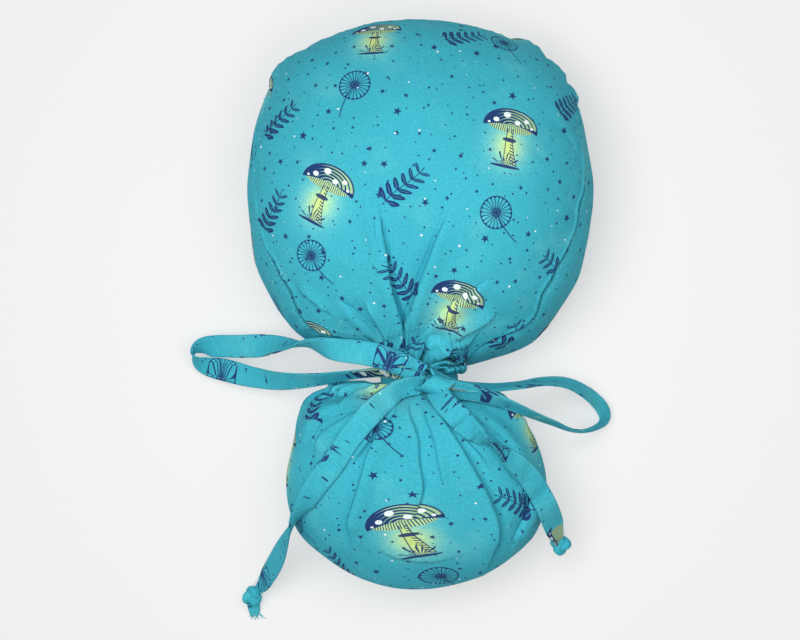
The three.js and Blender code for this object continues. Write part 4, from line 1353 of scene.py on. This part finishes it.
def knot_wrap():
    """Rings of the strap, laid out flat along its run and then wound round the lump."""
    half_height = (knot_top - knot_low) / 2
    radius = (wrap_half_depth + half_height) / 2
    run = np.linspace(-1, 1, wrap_steps)[:, None] * 2.5 * radius / math.sin(wrap_slant)
    out, up = strap_section(wrap_sides, 0.3)
    drawn_in = 1 - 0.25 * ease((np.abs(run) / radius - 1.3) / 1.2)
    wide = out * wrap_half_width * drawn_in
    slid = run * math.cos(wrap_slant) + wide * math.sin(wrap_slant)
    wound = (run * math.sin(wrap_slant) - wide * math.cos(wrap_slant)) / radius
    hollow = 0.5 * mm * (1 - out**2) + 0.25 * mm * np.sin(out * 4 + run / (3 * mm))
    depth = up * strap_thickness / 2 - hollow
    left = flattened(np.sin(wound), 0.85) * (wrap_half_depth + depth)
    height = (knot_top + knot_low) / 2
    height = height + flattened(np.cos(wound), 0.75) * (half_height - strap_thickness / 2 + depth)
    return in_knot(slid, left, height)


wrap = loop_mesh(
    "knot_wrap",
    knot_wrap(),
    lambda i, k: (0.21 + i * 0.0005, 0.05 + k / wrap_sides * 0.028),
    close_ends=True,
)


def knot_core():
    """The lump of tie inside the wrap, wrung into creases that run along the loops."""
    t = ((np.arange(core_steps) + 0.5) / core_steps * math.pi)[:, None]
    angle = 2 * math.pi * np.arange(core_sides)[None, :] / core_sides
    size = np.sin(t) ** 0.5
    crease = 1 + 0.1 * np.sin(4 * angle + 5 * np.cos(t)) + 0.05 * np.sin(7 * angle - 6 * np.cos(t))
    ahead = -np.cos(t) * core_half_length
    left = np.cos(angle) * core_half_width * size * crease
    height = (knot_low + knot_top) / 2 - core_drop + np.sin(angle) * core_half_height * size * crease
    return in_knot(ahead, left, height)


core = loop_mesh(
    "knot_core",
    knot_core(),
    lambda i, k: (0.12 + i * 0.0009, 0.01 + k * 0.0011),
    close_ends=True,
)
for piece in (wrap, core):
    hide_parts("knot")
    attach(piece, "root")


# End knots. A small overhand knot pulled tight at each end of the tie.
end_knot_height = 4.2 * mm
end_knot_reach = 4.1 * mm
end_knot_rise = 1.7 * mm
end_knot_steps = 96
end_knot_sides = 14
end_cord_thickness = 4.6 * mm
end_cord_width = 5.8 * mm


def overhand_knot(name, strap_line, print_start):
    """A cord of bunched strap along a trefoil, at the end of a tie."""
    middle, along = strap_line[:2]
    ahead = unit(along[-1] * [1, 1, 0])
    right = np.array([ahead[1], -ahead[0], 0])
    t = np.linspace(0, 2 * math.pi, end_knot_steps, endpoint=False)
    knot_centre = np.array([middle[-1][0], middle[-1][1], max(middle[-1][2], end_knot_height)])
    path = (
        knot_centre
        + ahead * ((np.sin(t) + 2 * np.sin(2 * t)) / 3 * end_knot_reach)[:, None]
        + right * ((np.cos(t) - 2 * np.cos(2 * t)) / 3 * end_knot_reach)[:, None]
        + straight_up * (-np.sin(3 * t) * end_knot_rise)[:, None]
    )
    forward = unit(np.roll(path, -1, 0) - np.roll(path, 1, 0))
    out = path - knot_centre
    out = unit(out - forward * (out * forward).sum(-1, keepdims=True))
    across = np.cross(forward, out)
    angle = 2 * math.pi * np.arange(end_knot_sides) / end_knot_sides
    pinch = 1 + 0.14 * np.sin(3 * angle)[None, :] * np.cos(5 * t)[:, None]
    thick = out[:, None] * (np.cos(angle)[None, :] * pinch * end_cord_thickness / 2)[..., None]
    wide = across[:, None] * (np.sin(angle)[None, :] * pinch * end_cord_width / 2)[..., None]
    grid = path[:, None] + thick + wide
    return loop_mesh(name, grid, lambda i, k: (print_start + i * 0.0006, 0.07 + k * 0.0009), wrap_rows=True)


for node, print_start in (("tail_left", 0.4), ("tail_right", 0.52)):
    small_knot = overhand_knot(node + "_knot", strap_lines[node], print_start)
    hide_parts(node)
    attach(small_knot, "root")


# Cut end. Past its knot the left end of the tie is cut off raw, and its threads have begun to come loose.
cut_end_length = 12.5 * mm
cut_end_heading = -82
cut_end_steps = 24
cut_end_sides = 20


def cut_end(name, strap_line, heading):
    """The short flat end of a tie past its knot."""
    end = strap_line[0][-1]
    run, side = headed(heading)
    t = np.linspace(0, 1, cut_end_steps)[:, None]
    out, up = strap_section(cut_end_sides, 0)
    half_wide = (2.6 + 1.5 * ease(t * 2.5) - 1.4 * t**3) * mm
    ahead = cut_end_length * t + 1.1 * mm * np.sin(out * 4 + 0.6) * t**2
    height = max(end[2], end_knot_height) * (1 - t) + 1.4 * mm * t
    fold = 0.6 * mm * np.sin(out * 3.2 + 2 * t) * (1 - 0.6 * t)
    thick = strap_thickness / 2 * (1 - 0.25 * t)
    grid = np.array([end[0], end[1], 0]) + run * ahead[..., None] + side * (out * half_wide)[..., None]
    grid = grid + straight_up * (height + fold + up * thick)[..., None]
    return loop_mesh(
        name,
        grid,
        lambda i, k: (0.43 + i * 0.0005, 0.11 + k / cut_end_sides * 0.016),
        close_ends=True,
    )


cut = cut_end("tail_left_end", strap_lines["tail_left"], cut_end_heading)
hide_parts("tail_left")
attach(cut, "root")


def thread_tubes(paths, radius, sides=6):
    """Closed thin tubes along paths of points. Gives points and faces."""
    points, faces = [], []
    for path in paths:
        path = np.array(path)
        ahead = unit(np.gradient(path, axis=0))
        level = unit(np.cross(ahead, [0.3, 0.1, 1.0]))
        rise = np.cross(level, ahead)
        first = len(points)
        for k, p in enumerate(path):
            thin = radius * (1 - 0.6 * k / len(path))
            for n in range(sides):
                a = 2 * math.pi * n / sides
                points.append(p + level[k] * math.cos(a) * thin + rise[k] * math.sin(a) * thin)
        for k in range(len(path) - 1):
            for n in range(sides):
                a, b = first + k * sides + n, first + k * sides + (n + 1) % sides
                faces.append([a, a + sides, b + sides, b])
        faces.append([first + n for n in range(sides)])
        last = first + (len(path) - 1) * sides
        faces.append([last + n for n in range(sides)][::-1])
    return points, faces


def loose_threads(name, strap_line, heading, beyond, count, seed):
    """Short threads that have come out of a cut end, beyond the end of its strap."""
    chance = np.random.default_rng(seed)
    run, left = headed(heading)
    start = strap_line[0][-1] + run * beyond
    start[2] = 1.8 * mm
    t = np.linspace(0, 1, 9)[:, None]
    paths = []
    for _ in range(count):
        out = chance.uniform(-1, 1)
        length = chance.uniform(1.4, 4.2) * mm
        bend = chance.uniform(-1, 1)
        path = start - left * out * 2.4 * mm + run * length * t
        path = path - left * (out * 1.6 + bend * t) * 1.6 * mm * t
        height = start[2] + chance.uniform(-0.8, 1.2) * mm * (1 - t[:, 0]) - 1.5 * mm * t[:, 0]
        path[:, 2] = np.maximum(height, 0.35 * mm)
        paths.append(path)
    points, faces = thread_tubes(paths, 0.28 * mm)
    return new_piece(name, np.array(points), faces, finishes=(sewing_thread,))


# Stitches. All seams are sewn with a pale teal thread: one row beside the seam of crown and band, one over
# the hem, one round the nape casing, and one along each edge of the ties, on both faces.
thread_finish = Finish("sewing_thread")
thread_place = thread_finish.add("ShaderNodeTexCoord").outputs["Object"]
thread_tone = thread_finish.noise(thread_place, 900.0, 2.0)
thread_finish.fill(thread_finish.shader, {
    "Base Color": thread_finish.blend(thread_tone, (0.07, 0.46, 0.56, 1), (0.17, 0.6, 0.67, 1)),
    "Roughness": 0.6,
    "Specular IOR Level": 0.3,
})
sewing_thread = thread_finish.material


def stitch_tree():
    tree = bpy.data.node_groups.new("stitch row", "GeometryNodeTree")
    face = tree.interface
    face.new_socket(name="Seam", in_out="INPUT", socket_type="NodeSocketGeometry")
    for name in ("Pitch", "Stitch", "Thread"):
        face.new_socket(name=name, in_out="INPUT", socket_type="NodeSocketFloat")
    face.new_socket(name="Finish", in_out="INPUT", socket_type="NodeSocketMaterial")
    face.new_socket(name="Stitches", in_out="OUTPUT", socket_type="NodeSocketGeometry")
    made = {}
    for kind in (
        "NodeGroupInput", "NodeGroupOutput", "GeometryNodeResampleCurve", "GeometryNodeInputTangent",
        "FunctionNodeAlignEulerToVector", "GeometryNodeMeshUVSphere", "ShaderNodeCombineXYZ",
        "GeometryNodeInstanceOnPoints", "GeometryNodeRealizeInstances", "GeometryNodeSetMaterial",
        "GeometryNodeSetShadeSmooth",
    ):
        made[kind] = tree.nodes.new(kind)
    seam, out = made["NodeGroupInput"], made["NodeGroupOutput"]
    spaced = made["GeometryNodeResampleCurve"]
    spaced.mode = "LENGTH"
    turn = made["FunctionNodeAlignEulerToVector"]
    turn.axis = "X"
    bead = made["GeometryNodeMeshUVSphere"]
    bead.inputs["Segments"].default_value = 6
    bead.inputs["Rings"].default_value = 4
    bead.inputs["Radius"].default_value = 0.5
    size = made["ShaderNodeCombineXYZ"]
    placed = made["GeometryNodeInstanceOnPoints"]
    real = made["GeometryNodeRealizeInstances"]
    smooth = made["GeometryNodeSetShadeSmooth"]
    finish = made["GeometryNodeSetMaterial"]
    joins = [
        (seam.outputs["Seam"], spaced.inputs["Curve"]),
        (seam.outputs["Pitch"], spaced.inputs["Length"]),
        (spaced.outputs["Curve"], placed.inputs["Points"]),
        (bead.outputs["Mesh"], placed.inputs["Instance"]),
        (made["GeometryNodeInputTangent"].outputs[0], turn.inputs["Vector"]),
        (turn.outputs[0], placed.inputs["Rotation"]),
        (seam.outputs["Stitch"], size.inputs[0]),
        (seam.outputs["Thread"], size.inputs[1]),
        (seam.outputs["Thread"], size.inputs[2]),
        (size.outputs[0], placed.inputs["Scale"]),
        (placed.outputs[0], real.inputs[0]),
        (real.outputs[0], smooth.inputs["Geometry"]),
        (smooth.outputs[0], finish.inputs["Geometry"]),
        (seam.outputs["Finish"], finish.inputs["Material"]),
        (finish.outputs[0], out.inputs["Stitches"]),
    ]
    for start, end in joins:
        tree.links.new(start, end)
    return tree


stitch_rows = stitch_tree()


def sew(name, rows, pitch=3.1 * mm, stitch=2.3 * mm, thread=0.55 * mm):
    """Stitches along rows of points, which are in the frame. pitch: from stitch to stitch."""
    line = bpy.data.curves.new(name + "_rows", "CURVE")
    line.dimensions = "3D"
    for row in rows:
        spline = line.splines.new("POLY")
        spline.points.add(len(row) - 1)
        spline.points.foreach_set("co", np.concatenate([row, np.ones((len(row), 1))], 1).reshape(-1))
    holder = stand(line)
    sewing = holder.modifiers.new("stitches", "NODES")
    sewing.node_group = stitch_rows
    sizes = {"Pitch": pitch, "Stitch": stitch, "Thread": thread, "Finish": sewing_thread}
    for item in stitch_rows.interface.items_tree:
        if item.in_out == "INPUT" and item.name in sizes:
            sewing[item.identifier] = sizes[item.name]
    evaluated = holder.evaluated_get(bpy.context.evaluated_depsgraph_get())
    mesh = bpy.data.meshes.new_from_object(evaluated)
    mesh.name = name
    holder.modifiers.remove(sewing)
    bpy.data.objects.remove(holder)
    piece = stand(mesh)
    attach(piece, "root")
    return piece


def row_at(grid, depth, at, lift):
    """A row of points at a distance from the first column of a grid, lifted off its face."""
    normal = normals_of(grid)
    row = []
    for i in range(len(grid)):
        j = min(int(np.searchsorted(depth[i], at)), grid.shape[1] - 1)
        before = max(j - 1, 0)
        t = (at - depth[i, before]) / max(depth[i, j] - depth[i, before], 1e-9)
        row.append(grid[i, before] + (grid[i, j] - grid[i, before]) * t + normal[i, before] * lift)
    return to_frame(np.array(row))


seam_lines = slice(2, crown_lines - 1)
seam_row = row_at(band_grid[seam_lines], band_drop[seam_lines], 2.6 * mm, 0.12 * mm)
sew("seam_stitches", [seam_row])
hem_row = row_at(band_grid[seam_lines, ::-1], from_hem[seam_lines, ::-1], hem_height, -0.12 * mm)
sew("hem_stitches", [hem_row])

crown_surface = surface_of(crown)
casing_route = [
    (-60, 33), (-50, 29), (-36, 27), (-24, 26), (-13, 26.5), (-4, 30), (8, 31), (20, 31.5), (32, 33), (42, 36)
]
casing_row = []
for x, y in zip(*route_line(casing_route, 160)):
    hit = plumb(crown_surface, x * mm, y * mm)
    if hit:
        casing_row.append([hit.x, hit.y, hit.z + 0.15 * mm])
sew("casing_stitches", [np.array(casing_row)], stitch=2.2 * mm, thread=0.45 * mm)

for node, strap_line in strap_lines.items():
    middle, _, wide, thick = strap_line
    rows = []
    for side in (-0.76, 0.76):
        for face in (-1, 1):
            row = middle + wide * side * strap_width / 2 + thick * face * (strap_thickness / 2 * 0.86)
            rows.append(to_frame(row))
    sew(node + "_stitches", rows, pitch=2.9 * mm, stitch=2.0 * mm, thread=0.45 * mm)

threads_at = cut_end_length - 1.5 * mm
threads = loose_threads("tail_left_threads", strap_lines["tail_left"], cut_end_heading, threads_at, 16, 5)
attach(threads, "root")
